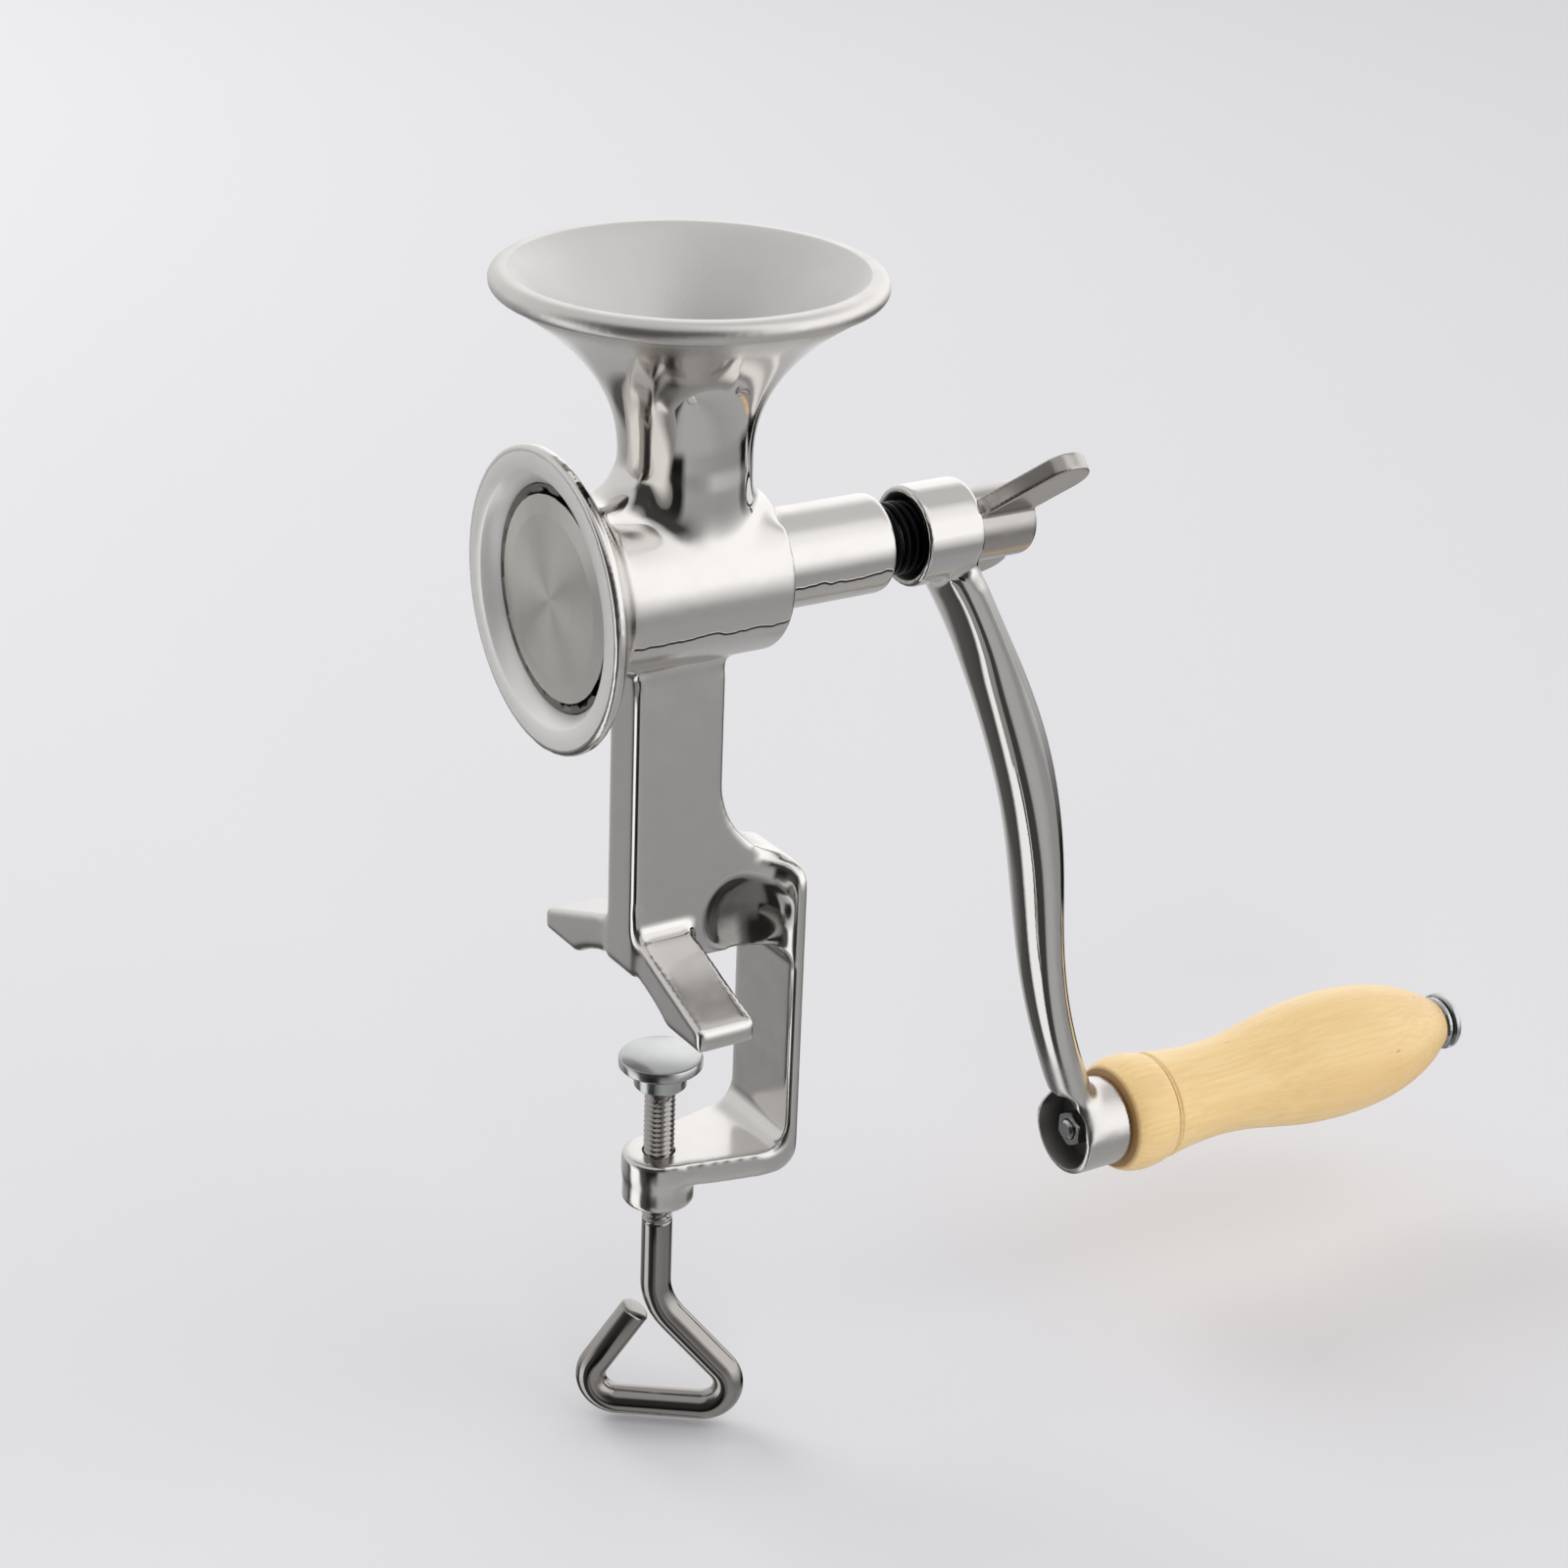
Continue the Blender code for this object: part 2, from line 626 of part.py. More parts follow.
def web_scoops():
    """The hollow pressed into each side of the web, where it flares out to the arm."""
    profile = [(-1, 0)] + [(-cos(pi * i / 10), sin(pi * i / 10)) for i in range(1, 10)] + [(1, 0)]
    scoops = []
    for side in (-1, 1):
        scoop = turned("web scoop", profile, MEDIUM, around_z)
        away = side * (LEG_WIDTH / 2 + SCOOP_HALF_WIDTH - SCOOP_DEPTH)
        stretch = Matrix.Diagonal((SCOOP_HALF_LENGTH, SCOOP_HALF_WIDTH, SCOOP_HALF_HEIGHT, 1.0))
        place_mesh(scoop, Matrix.Translation((SCOOP_SETBACK, away, SCOOP_HEIGHT)) @ stretch)
        scoops.append(scoop)
    return scoops


def feet():
    """Two sloping feet with an arch between them."""
    half_span = FOOT_SPAN / 2
    half_leg = LEG_WIDTH / 2
    half_arch = ARCH_SPAN / 2
    r = EDGE_ROUNDING
    slope_start = half_leg + FOOT_ROOT_FILLET / 2
    right = [(half_span, 0), (half_span, FOOT_END_HEIGHT - r), (half_span - r, FOOT_END_HEIGHT)]
    right += [(slope_start, FOOT_ROOT_HEIGHT), (half_leg + r / 2, FOOT_ROOT_HEIGHT + FOOT_ROOT_FILLET / 3)]
    right += [(half_leg - r, FOOT_ROOT_HEIGHT + FOOT_ROOT_FILLET)]
    arch_radius = (half_arch ** 2 + ARCH_HEIGHT ** 2) / (2 * ARCH_HEIGHT)
    sweep = asin(half_arch / arch_radius)
    arch = []
    for i in range(11):
        angle = -sweep + 2 * sweep * i / 10
        arch.append((arch_radius * sin(angle), ARCH_HEIGHT - arch_radius * (1 - cos(angle))))
    outline = right + [(-u, v) for u, v in reversed(right)] + arch
    front = -LEG_FRONT + GAP
    return prism("feet", outline, front, front + FOOT_LENGTH, "yzx")


def clamp_arm():
    """The lower part of the clamp arm, its jaw and the jaw's threaded boss."""
    r_out = JAW_CORNER_RADIUS
    r_in = JAW_CORNER_RADIUS - EDGE_ROUNDING
    front = -SCREW_SETBACK - JAW_BOSS_RADIUS - OVERRUN
    corners = [(ARM_INNER_FACE, ARM_TOP_HEIGHT / 2), (ARM_OUTER_FACE, ARM_TOP_HEIGHT / 2),
               (ARM_OUTER_FACE, -JAW_BOTTOM), (front, -JAW_BOTTOM), (front, -JAW_DEPTH),
               (ARM_INNER_FACE, -JAW_DEPTH)]
    outline = rounded_path(corners, [0, 0, r_out, 0, 0, r_in], 4, closed=True)
    side = prism("jaw side view", outline, -ARM_WIDTH, ARM_WIDTH, "xzy")
    half_arm = ARM_WIDTH / 2
    tip = [(-SCREW_SETBACK + u, v) for u, v in arc(0, 0, JAW_BOSS_RADIUS, 100, 260, 10)]
    plan = [(ARM_OUTER_FACE + OVERRUN, half_arm), (ARM_INNER_FACE - JAW_CORNER_RADIUS, half_arm)]
    plan += tip + [(ARM_INNER_FACE - JAW_CORNER_RADIUS, -half_arm), (ARM_OUTER_FACE + OVERRUN, -half_arm)]
    plan_solid = prism("jaw plan view", plan, -JAW_BOTTOM - OVERRUN, ARM_TOP_HEIGHT, "xyz")
    combine(side, plan_solid, "INTERSECT")
    top = -JAW_DEPTH - JAW_THICKNESS / 2
    bottom = -JAW_DEPTH - JAW_BOSS_LENGTH
    boss_outline = [(top, 0), (top, JAW_BOSS_RADIUS - GAP), (bottom + EDGE_ROUNDING, JAW_BOSS_RADIUS - GAP),
                    (bottom, JAW_BOSS_RADIUS - GAP - EDGE_ROUNDING), (bottom, 0)]
    boss = turned("jaw boss", boss_outline, MEDIUM, around_z)
    place_mesh(boss, Matrix.Translation((-SCREW_SETBACK, 0, 0)))
    combine(side, boss, "UNION")
    hole_outline = [(-JAW_DEPTH + OVERRUN, 0), (-JAW_DEPTH + OVERRUN, ROD_RADIUS + GAP),
                    (bottom - OVERRUN, ROD_RADIUS + GAP), (bottom - OVERRUN, 0)]
    hole = turned("jaw hole", hole_outline, COARSE, around_z)
    place_mesh(hole, Matrix.Translation((-SCREW_SETBACK, 0, 0)))
    return combine(side, hole, "DIFFERENCE")


def mill_body():
    """The whole casting."""
    body = barrel_shell()
    body.name = "mill_body"
    combine(body, hopper_shell(), "UNION")
    combine(body, saddle(), "UNION")
    frame = leg_and_web()
    for cutter in arm_corner_cutters() + web_scoops():
        combine(frame, cutter, "DIFFERENCE")
    combine(frame, feet(), "UNION")
    combine(body, frame, "UNION")
    combine(body, clamp_arm(), "UNION")
    combine(body, hopper_cavity(), "DIFFERENCE")
    combine(body, barrel_cavity(), "DIFFERENCE")
    return finish(body, polished_steel("mill_body"))


def toothed_ring(x, tip_radius, depth, twist):
    """Points round a ring of saw-shaped teeth."""
    points = []
    for tooth in range(TOOTH_COUNT):
        for share, drop in ((0.00, 1.0), (0.16, 0.0), (0.50, 0.0), (0.62, 1.0)):
            angle = 2 * pi * (tooth + share) / TOOTH_COUNT + twist
            points.append(around_x(x, tip_radius - depth * drop, angle))
    return points


def plain_ring(x, radius, twist=0.0):
    """Points round a plain ring, in step with the teeth."""
    return toothed_ring(x, radius, 0, twist)


def ring_tip_radius(x):
    """Radius of the inward tips of the fixed ring's teeth."""
    return RING_MOUTH_RADIUS - (x - RING_FRONT) * RING_SLOPE


def cone_tip_radius(x):
    """Tip radius of the turning cone's teeth, one grinding gap inside the fixed ring."""
    return ring_tip_radius(x) - GRINDING_GAP * sqrt(1 + RING_SLOPE ** 2)


def fixed_burr_ring(parent):
    """Fixed grinding ring: plain band and conical back, teeth inside."""
    rings = [plain_ring(RING_FRONT, RING_RADIUS), plain_ring(RING_BAND_END, RING_RADIUS),
             plain_ring(RING_END, RING_BACK_RADIUS)]
    for i in range(RING_STEPS, -1, -1):
        x = RING_FRONT + (RING_END - RING_FRONT) * i / RING_STEPS
        twist = (x - RING_FRONT) / RING_RADIUS
        rings.append(toothed_ring(x, ring_tip_radius(x), -TOOTH_DEPTH, twist))
    item = rings_object("fixed_burr_ring", rings, closed=True)
    return finish(item, satin_steel("fixed_burr_ring"), parent)


def grinding_cone(parent):
    """The turning cone, with a smooth domed face in front and saw-shaped teeth behind."""
    rings = [[around_x(CONE_FACE - CONE_DOME, 0, 0)]]
    rings.append(plain_ring(CONE_FACE - CONE_DOME * 0.75, CONE_FACE_RADIUS / 2))
    rings.append(plain_ring(CONE_FACE, CONE_FACE_RADIUS))
    rings.append(plain_ring(RING_FRONT - GAP, cone_tip_radius(RING_FRONT)))
    for i in range(RING_STEPS + 1):
        x = RING_FRONT + (RING_END - RING_FRONT) * i / RING_STEPS
        depth = TOOTH_DEPTH * (0.7 + 0.8 * i / RING_STEPS)
        rings.append(toothed_ring(x, cone_tip_radius(x), depth, -(x - RING_FRONT) / CONE_HUB_RADIUS))
    rings.append(plain_ring(RING_END + GAP, CONE_HUB_RADIUS))
    rings.append(plain_ring(CONE_HUB_END, CONE_HUB_RADIUS))
    bore = SHAFT_RADIUS + GAP
    bore_end = CONE_FACE + CONE_WALL
    rings.append(plain_ring(CONE_HUB_END, bore))
    rings.append(plain_ring(bore_end, bore))
    rings.append([around_x(bore_end, 0, 0)])
    item = rings_object("grinding_cone", rings)
    hole = pin_solid("cone pin hole", PIN_RADIUS + GAP, CONE_HUB_RADIUS + OVERRUN, cone_pin_place())
    combine(item, hole, "DIFFERENCE")
    return finish(item, satin_steel("grinding_cone"), parent)


def cone_pin_place():
    return (RING_END + CONE_HUB_END) / 2 + GAP


def pin_solid(name, radius, reach, x):
    """A cross pin through the shaft, standing along Z."""
    outline = [(-reach, 0), (-reach, radius), (reach, radius), (reach, 0)]
    item = turned(name, outline, COARSE // 2 + 2, around_z)
    return place_mesh(item, Matrix.Translation((x, 0, 0)))


def cross_pin(name, reach, x, parent):
    item = pin_solid(name, PIN_RADIUS, reach, x)
    return finish(item, zinc_plate(name), parent)


def worm_start():
    return CONE_HUB_END + GAP


def thrust_washer_start():
    return SHOULDER_SETBACK - BARREL_END_WALL - GAP - THRUST_WASHER_THICKNESS


def worm_end():
    return thrust_washer_start() - GAP


def worm_pin_place():
    return worm_end() - PIN_RADIUS * 2.5


def feed_worm(parent):
    """The worm that feeds the grain to the cone: one flight round a plain core, pinned at its end."""
    start, end = worm_start(), worm_end()
    collar = PIN_RADIUS * 2.5
    stations = 20
    count = 20
    flight_start = start + PIN_RADIUS / 2
    flight_end = end - collar * 1.8

    def section(x, height_share):
        ring = []
        for i in range(count):
            angle = 2 * pi * i / count
            lift = max(0.0, cos(angle - pi)) ** 5 * height_share
            radius = WORM_CORE_RADIUS + (WORM_FLIGHT_RADIUS - WORM_CORE_RADIUS) * lift
            ring.append(around_x(x, radius, angle + 2 * pi * (x - start) / WORM_PITCH))
        return ring

    rings = [[around_x(start, 0, 0)], section(start, 0.0)]
    for i in range(stations + 1):
        x = flight_start + (flight_end - flight_start) * i / stations
        height_share = min(1.0, 0.2 + i * 0.4, 0.2 + (stations - i) * 0.4)
        rings.append(section(x, height_share))
    for share in (0.5, 1.0):
        rings.append(section(flight_end + (end - flight_end) * share, 0.0))
    rings.append([around_x(end, 0, 0)])
    item = rings_object("feed_worm", rings)
    bore = turned("worm bore", [(start - OVERRUN, 0), (start - OVERRUN, SHAFT_RADIUS + GAP),
                                (end + OVERRUN, SHAFT_RADIUS + GAP), (end + OVERRUN, 0)], COARSE, around_x)
    combine(item, bore, "DIFFERENCE")
    hole = pin_solid("worm pin hole", PIN_RADIUS + GAP, WORM_CORE_RADIUS + OVERRUN, worm_pin_place())
    combine(item, hole, "DIFFERENCE")
    return finish(item, satin_steel("feed_worm"), parent)


def squared_radius(flats, corner_radius, angle):
    """Radius of a square with corners trimmed to a circle."""
    return min(corner_radius, flats / 2 / max(abs(cos(angle)), abs(sin(angle))))


def square_ring(x, flats, corner_radius, count):
    ring = []
    for i in range(count):
        angle = 2 * pi * i / count
        ring.append(around_x(x, squared_radius(flats, corner_radius, angle), angle))
    return ring


def drive_shaft(parent):
    """Round shaft with a squared seat for the crank and a threaded end for the wing nut."""
    count = MEDIUM
    start = CONE_FACE + CONE_WALL + GAP
    square_start = BOSS_FLOOR - SETTING_TRAVEL - GAP
    square_end = BOSS_END - SETTING_TRAVEL - 2 * GAP
    end = NUT_END - SHAFT_END_INSET
    big = 10 * SHAFT_RADIUS
    rings = [[around_x(start, 0, 0)]]
    rings.append(square_ring(start, big, SHAFT_RADIUS - SHAFT_CHAMFER, count))
    rings.append(square_ring(start + SHAFT_CHAMFER, big, SHAFT_RADIUS, count))
    rings.append(square_ring(square_start - GAP, big, SHAFT_RADIUS, count))
    rings.append(square_ring(square_start, SHAFT_SQUARE, SHAFT_RADIUS, count))
    rings.append(square_ring(square_end, SHAFT_SQUARE, SHAFT_RADIUS, count))
    rings.append(square_ring(square_end + GAP, big, SHAFT_THREAD_RADIUS, count))
    rings.append(square_ring(end - SHAFT_CHAMFER, big, SHAFT_THREAD_RADIUS, count))
    rings.append(square_ring(end, big, SHAFT_THREAD_RADIUS - SHAFT_CHAMFER, count))
    rings.append([around_x(end, 0, 0)])
    item = rings_object("drive_shaft", rings)
    for place in (cone_pin_place(), worm_pin_place()):
        hole = pin_solid("shaft pin hole", PIN_RADIUS + GAP, SHAFT_RADIUS + OVERRUN, place)
        combine(item, hole, "DIFFERENCE")
    return finish(item, satin_steel("drive_shaft"), parent)


def neck_bush(parent):
    """Plain bearing bush in the neck."""
    inner = SHAFT_RADIUS + GAP
    start = SHOULDER_SETBACK - BARREL_END_WALL + BUSH_RECESS
    end = NECK_END - BUSH_RECESS
    outline = [(start, inner), (start, BUSH_RADIUS), (end, BUSH_RADIUS), (end, inner)]
    item = turned("neck_bush", outline, MEDIUM, around_x, closed=True)
    return finish(item, bronze("neck_bush"), parent)


def thrust_washer(parent):
    """Bronze washer that takes the worm's push against the barrel's end wall."""
    start, end = thrust_washer_start(), thrust_washer_start() + THRUST_WASHER_THICKNESS
    bore = SHAFT_RADIUS + GAP
    outline = [(start, bore), (start, THRUST_WASHER_RADIUS), (end, THRUST_WASHER_RADIUS), (end, bore)]
    item = turned("thrust_washer", outline, MEDIUM, around_x, closed=True)
    return finish(item, bronze("thrust_washer"), parent)


def adjusting_spring(parent):
    """Compression spring from the neck's end to the floor of the crank's pocket."""
    wire = SPRING_WIRE_RADIUS
    first = NECK_END + GAP + wire
    last = BOSS_FLOOR - GAP - wire
    steps = round(SPRING_TURNS * 10)
    points = []
    for i in range(steps + 1):
        share = i / steps
        angle = 2 * pi * SPRING_TURNS * share
        points.append(around_x(first + (last - first) * share, SPRING_COIL_RADIUS, angle))
    out = 2 * pi * SPRING_TURNS
    lead = points[0] - Vector((0, -sin(0), cos(0))) * wire * 2
    tail = points[-1] + Vector((0, -sin(out), cos(out))) * wire * 2
    points = [lead] + points + [tail]
    curve = bpy.data.curves.new("adjusting_spring", "CURVE")
    curve.dimensions = "3D"
    curve.bevel_depth = wire
    curve.bevel_resolution = 1
    curve.use_fill_caps = True
    path = curve.splines.new("POLY")
    path.points.add(len(points) - 1)
    for spot, point in zip(path.points, points):
        spot.co = (*point, 1.0)
    item = bpy.data.objects.new("adjusting_spring", curve)
    bpy.context.collection.objects.link(item)
    curve.materials.append(black_steel("adjusting_spring"))
    item.parent = parent
    least = min((points[i] - points[j]).length - 2 * wire
                for i in range(len(points)) for j in range(i + 5, len(points)))
    print("Least gap of the spring to itself: %.2f mm" % (least * 1000))
    return item


def boss_solid():
    """The crank's boss, before its bores."""
    r = BOSS_CHAMFER
    outline = [(BOSS_START, 0), (BOSS_START, BOSS_RADIUS - EDGE_ROUNDING / 2),
               (BOSS_START + EDGE_ROUNDING / 2, BOSS_RADIUS), (BOSS_END - r, BOSS_RADIUS),
               (BOSS_END - r / 3, BOSS_RADIUS - r / 3), (BOSS_END, BOSS_RADIUS - r), (BOSS_END, 0)]
    return turned("crank_arm", outline, FINE, around_x)


def arm_curve(share):
    """Place and direction of the arm's middle line, between the boss and the eye."""
    start = Vector((BOSS_MIDDLE, 0))
    end = Vector((EYE_MIDDLE, -CRANK_THROW))
    first = start + ARM_TOP_PULL * Vector((sin(ARM_TOP_LEAN), -cos(ARM_TOP_LEAN)))
    second = end - ARM_EYE_PULL * Vector((sin(ARM_EYE_LEAN), -cos(ARM_EYE_LEAN)))
    t = share
    u = 1 - share
    point = u ** 3 * start + 3 * u * u * t * first + 3 * u * t * t * second + t ** 3 * end
    slope = u * u * (first - start) + 2 * u * t * (second - first) + t * t * (end - second)
    return point, slope.normalized()


def arm_solid():
    """The curved oval arm, flared where it leaves the boss."""
    rings = []
    for share, width_share, thickness_share in ARM_SECTION_SHARES:
        point, slope = arm_curve(share)
        across = Vector((-slope.y, slope.x))
        ring = []
        for i in range(COARSE):
            angle = 2 * pi * i / COARSE
            offset = ARM_HALF_THICKNESS * thickness_share * cos(angle)
            y = ARM_HALF_WIDTH * width_share * sin(angle)
            ring.append(Vector((point.x + across.x * offset, y, point.y + across.y * offset)))
        rings.append(ring)
    return rings_object("arm", rings)


def eye_solid():
    r = EDGE_ROUNDING
    outline = [(EYE_START, 0), (EYE_START, EYE_RADIUS - r), (EYE_START + r, EYE_RADIUS),
               (EYE_END - r, EYE_RADIUS), (EYE_END, EYE_RADIUS - r), (EYE_END, 0)]
    item = turned("eye", outline, FINE, around_x)
    return place_mesh(item, Matrix.Translation((0, 0, -CRANK_THROW)))


def nut_room():
    """The space that the wing nut sweeps as it turns, which the arm keeps clear of."""
    half = WING_THICKNESS / 2
    outline = [(BOSS_END, 0)]
    reach = 0
    for along, out in wing_outline()[1:]:
        swept = hypot(out, half)
        if swept > reach:
            outline.append((along - WING_CLEARANCE, swept + WING_CLEARANCE))
            reach = swept
    outline.append((NUT_END + BOSS_LENGTH, reach + WING_CLEARANCE))
    outline.append((NUT_END + BOSS_LENGTH, 0))
    outline[1] = (BOSS_END, outline[1][1])
    return turned("nut room", outline, FINE, around_x)


def crank_arm(parent):
    """Crank casting: boss with a spring pocket and square bore, S-shaped arm, and eye with its pocket."""
    arm = arm_solid()
    combine(arm, nut_room(), "DIFFERENCE")
    eye_face = turned("eye face", [(BOSS_END, 0), (BOSS_END, EYE_RADIUS + GAP / 2),
                                   (EYE_START + GAP / 2, EYE_RADIUS + GAP / 2), (EYE_START + GAP / 2, 0)],
                      MEDIUM, around_x)
    place_mesh(eye_face, Matrix.Translation((0, 0, -CRANK_THROW)))
    combine(arm, eye_face, "DIFFERENCE")
    item = boss_solid()
    combine(item, arm, "UNION")
    combine(item, eye_solid(), "UNION")
    pocket = turned("pocket", [(BOSS_START - OVERRUN, 0), (BOSS_START - OVERRUN, BOSS_POCKET_RADIUS),
                               (BOSS_FLOOR, BOSS_POCKET_RADIUS), (BOSS_FLOOR, 0)], FINE, around_x)
    combine(item, pocket, "DIFFERENCE")
    bore = rings_object("bore", [square_ring(x, SHAFT_SQUARE + 2 * GAP, SHAFT_RADIUS + GAP, MEDIUM)
                                 for x in (BOSS_FLOOR - OVERRUN, BOSS_END + OVERRUN)])
    combine(item, bore, "DIFFERENCE")
    pocket_radius = EYE_RADIUS - EYE_RIM
    eye_pocket = turned("eye pocket", [(EYE_START - OVERRUN, 0), (EYE_START - OVERRUN, pocket_radius),
                                       (EYE_FLOOR, pocket_radius), (EYE_FLOOR, 0)], MEDIUM, around_x)
    place_mesh(eye_pocket, Matrix.Translation((0, 0, -CRANK_THROW)))
    combine(item, eye_pocket, "DIFFERENCE")
    eye_bore = turned("eye bore", [(EYE_FLOOR - OVERRUN, 0), (EYE_FLOOR - OVERRUN, BOLT_RADIUS + GAP),
                                   (EYE_END + OVERRUN, BOLT_RADIUS + GAP), (EYE_END + OVERRUN, 0)],
                      COARSE, around_x)
    place_mesh(eye_bore, Matrix.Translation((0, 0, -CRANK_THROW)))
    combine(item, eye_bore, "DIFFERENCE")
    return finish(item, polished_steel("crank_arm"), parent)


def wing_outline():
    """Side view of one wing: two straight edges that touch a round tip."""
    tip = Vector((NUT_START + WING_TIP_OFFSET, WING_TIP_REACH))
    lower = Vector((NUT_START + GAP, WING_ROOT_RADIUS))
    upper = Vector((NUT_END - NUT_ROUNDING / 2, WING_ROOT_RADIUS))
    outline = [(lower.x, WING_ROOT_RADIUS / 2), tuple(lower)]
    away = tip - lower
    start = atan2(away.y, away.x) + pi / 2 + asin(WING_TIP_RADIUS / away.length)
    away = tip - upper
    end = atan2(away.y, away.x) - pi / 2 - asin(WING_TIP_RADIUS / away.length)
    steps = 7
    for i in range(steps + 1):
        angle = start + (end - start) * i / steps
        outline.append((tip.x + WING_TIP_RADIUS * cos(angle), tip.y + WING_TIP_RADIUS * sin(angle)))
    outline += [tuple(upper), (upper.x, WING_ROOT_RADIUS / 2)]
    return outline


def wing_nut(parent):
    """Wing nut: a round boss with two flat wings."""
    r = NUT_ROUNDING
    edge = EDGE_ROUNDING / 2
    outline = [(NUT_START, 0), (NUT_START, NUT_RADIUS - edge), (NUT_START + edge, NUT_RADIUS)]
    outline += [(NUT_END - r + r * sin(a), NUT_RADIUS - r + r * cos(a)) for a in (0, pi / 4, pi / 2)]
    outline.append((NUT_END, 0))
    item = turned("wing_nut", outline, MEDIUM, around_x)
    half = WING_THICKNESS / 2
    for side in (1, -1):
        wing = prism("wing", [(u, side * v) for u, v in wing_outline()], -half, half, "xzy")
        round_edges(wing, EDGE_ROUNDING, 1, radians(50))
        combine(item, wing, "UNION")
    hole = turned("nut hole", [(NUT_START - OVERRUN, 0), (NUT_START - OVERRUN, SHAFT_THREAD_RADIUS + GAP),
                               (NUT_END + OVERRUN, SHAFT_THREAD_RADIUS + GAP), (NUT_END + OVERRUN, 0)],
                  COARSE, around_x)
    combine(item, hole, "DIFFERENCE")
    item.rotation_euler.x = WING_TILT
    return finish(item, polished_steel("wing_nut"), parent)


def wooden_grip(parent):
    """Turned wooden grip with a bead and a groove at the crank end."""
    bore = SLEEVE_RADIUS + GAP
    outline = [(GRIP_START, bore)]
    outline += [(GRIP_START + GRIP_LENGTH * along, GRIP_RADIUS * radius) for along, radius in GRIP_SHARES]
    outline.append((GRIP_END, bore))
    item = turned("wooden_grip", outline, MEDIUM, around_x, closed=True)
    return finish(item, varnished_wood("wooden_grip"), parent)


def grip_sleeve(parent):
    """Steel sleeve on which the grip turns."""
    outline = [(GRIP_START, BOLT_RADIUS + GAP), (GRIP_START, SLEEVE_RADIUS),
               (GRIP_END + GAP, SLEEVE_RADIUS), (GRIP_END + GAP, BOLT_RADIUS + GAP)]
    item = turned("grip_sleeve", outline, COARSE, around_x, closed=True)
    return finish(item, zinc_plate("grip_sleeve"), parent)


def end_washer_start():
    return GRIP_END + 2 * GAP


def bolt_end_washer(parent):
    start = end_washer_start()
    end = start + END_WASHER_THICKNESS
    inner = BOLT_RADIUS + GAP
    r = END_WASHER_THICKNESS / 4
    outline = [(start, inner), (start, END_WASHER_RADIUS - r), (start + r, END_WASHER_RADIUS),
               (end - r, END_WASHER_RADIUS), (end, END_WASHER_RADIUS - r), (end, inner)]
    item = turned("bolt_end_washer", outline, MEDIUM, around_x, closed=True)
    return finish(item, zinc_plate("bolt_end_washer"), parent)


def handle_bolt(parent):
    """Long screw through the grip and the eye, with a domed head at the outer end."""
    head_start = end_washer_start() + END_WASHER_THICKNESS + GAP
    head_end = head_start + BOLT_HEAD_HEIGHT
    nut_face = EYE_FLOOR - LOCK_WASHER_THICKNESS - HANDLE_NUT_HEIGHT - 2 * GAP
    start = nut_face - BOLT_END_STANDOUT
    chamfer = BOLT_RADIUS / 5
    outline = [(start, 0), (start, BOLT_RADIUS - chamfer), (start + chamfer, BOLT_RADIUS),
               (head_start, BOLT_RADIUS), (head_start, BOLT_HEAD_RADIUS)]
    for i in range(1, 5):
        angle = pi / 2 * i / 5
        outline.append((head_start + BOLT_HEAD_HEIGHT * sin(angle),
                        BOLT_HEAD_RADIUS * cos(angle) ** HEAD_DOME_SHARE))
    outline.append((head_end, 0))
    item = turned("handle_bolt", outline, MEDIUM, around_x)
    return finish(item, zinc_plate("handle_bolt"), parent)


def lock_washer(parent):
    end = EYE_FLOOR - GAP
    start = end - LOCK_WASHER_THICKNESS
    inner = BOLT_RADIUS + GAP
    outer = HANDLE_NUT_FLATS / 2
    outline = [(start, inner), (start, outer), (end, outer), (end, inner)]
    item = turned("lock_washer", outline, COARSE, around_x, closed=True)
    return finish(item, zinc_plate("lock_washer"), parent)


def handle_nut(parent):
    """Hexagon nut in the pocket of the eye."""
    end = EYE_FLOOR - LOCK_WASHER_THICKNESS - 2 * GAP
    start = end - HANDLE_NUT_HEIGHT
    count = 24
    chamfer = HANDLE_NUT_HEIGHT / 10
    inner = BOLT_RADIUS + GAP

    def hexagon(x, trim):
        ring = []
        for i in range(count):
            angle = 2 * pi * i / count
            local = (angle + pi / 6) % (pi / 3) - pi / 6
            ring.append(around_x(x, min(HANDLE_NUT_FLATS / 2 / cos(local), trim), angle))
        return ring

    corner = HANDLE_NUT_FLATS / sqrt(3)
    trimmed = HANDLE_NUT_FLATS / 2 + chamfer
    rings = [hexagon(start, trimmed), hexagon(start + chamfer, corner), hexagon(end - chamfer, corner),
             hexagon(end, trimmed)]
    rings += [[around_x(x, inner, 2 * pi * i / count) for i in range(count)] for x in (end, start)]
    item = rings_object("handle_nut", rings, closed=True)
    return finish(item, zinc_plate("handle_nut"), parent)


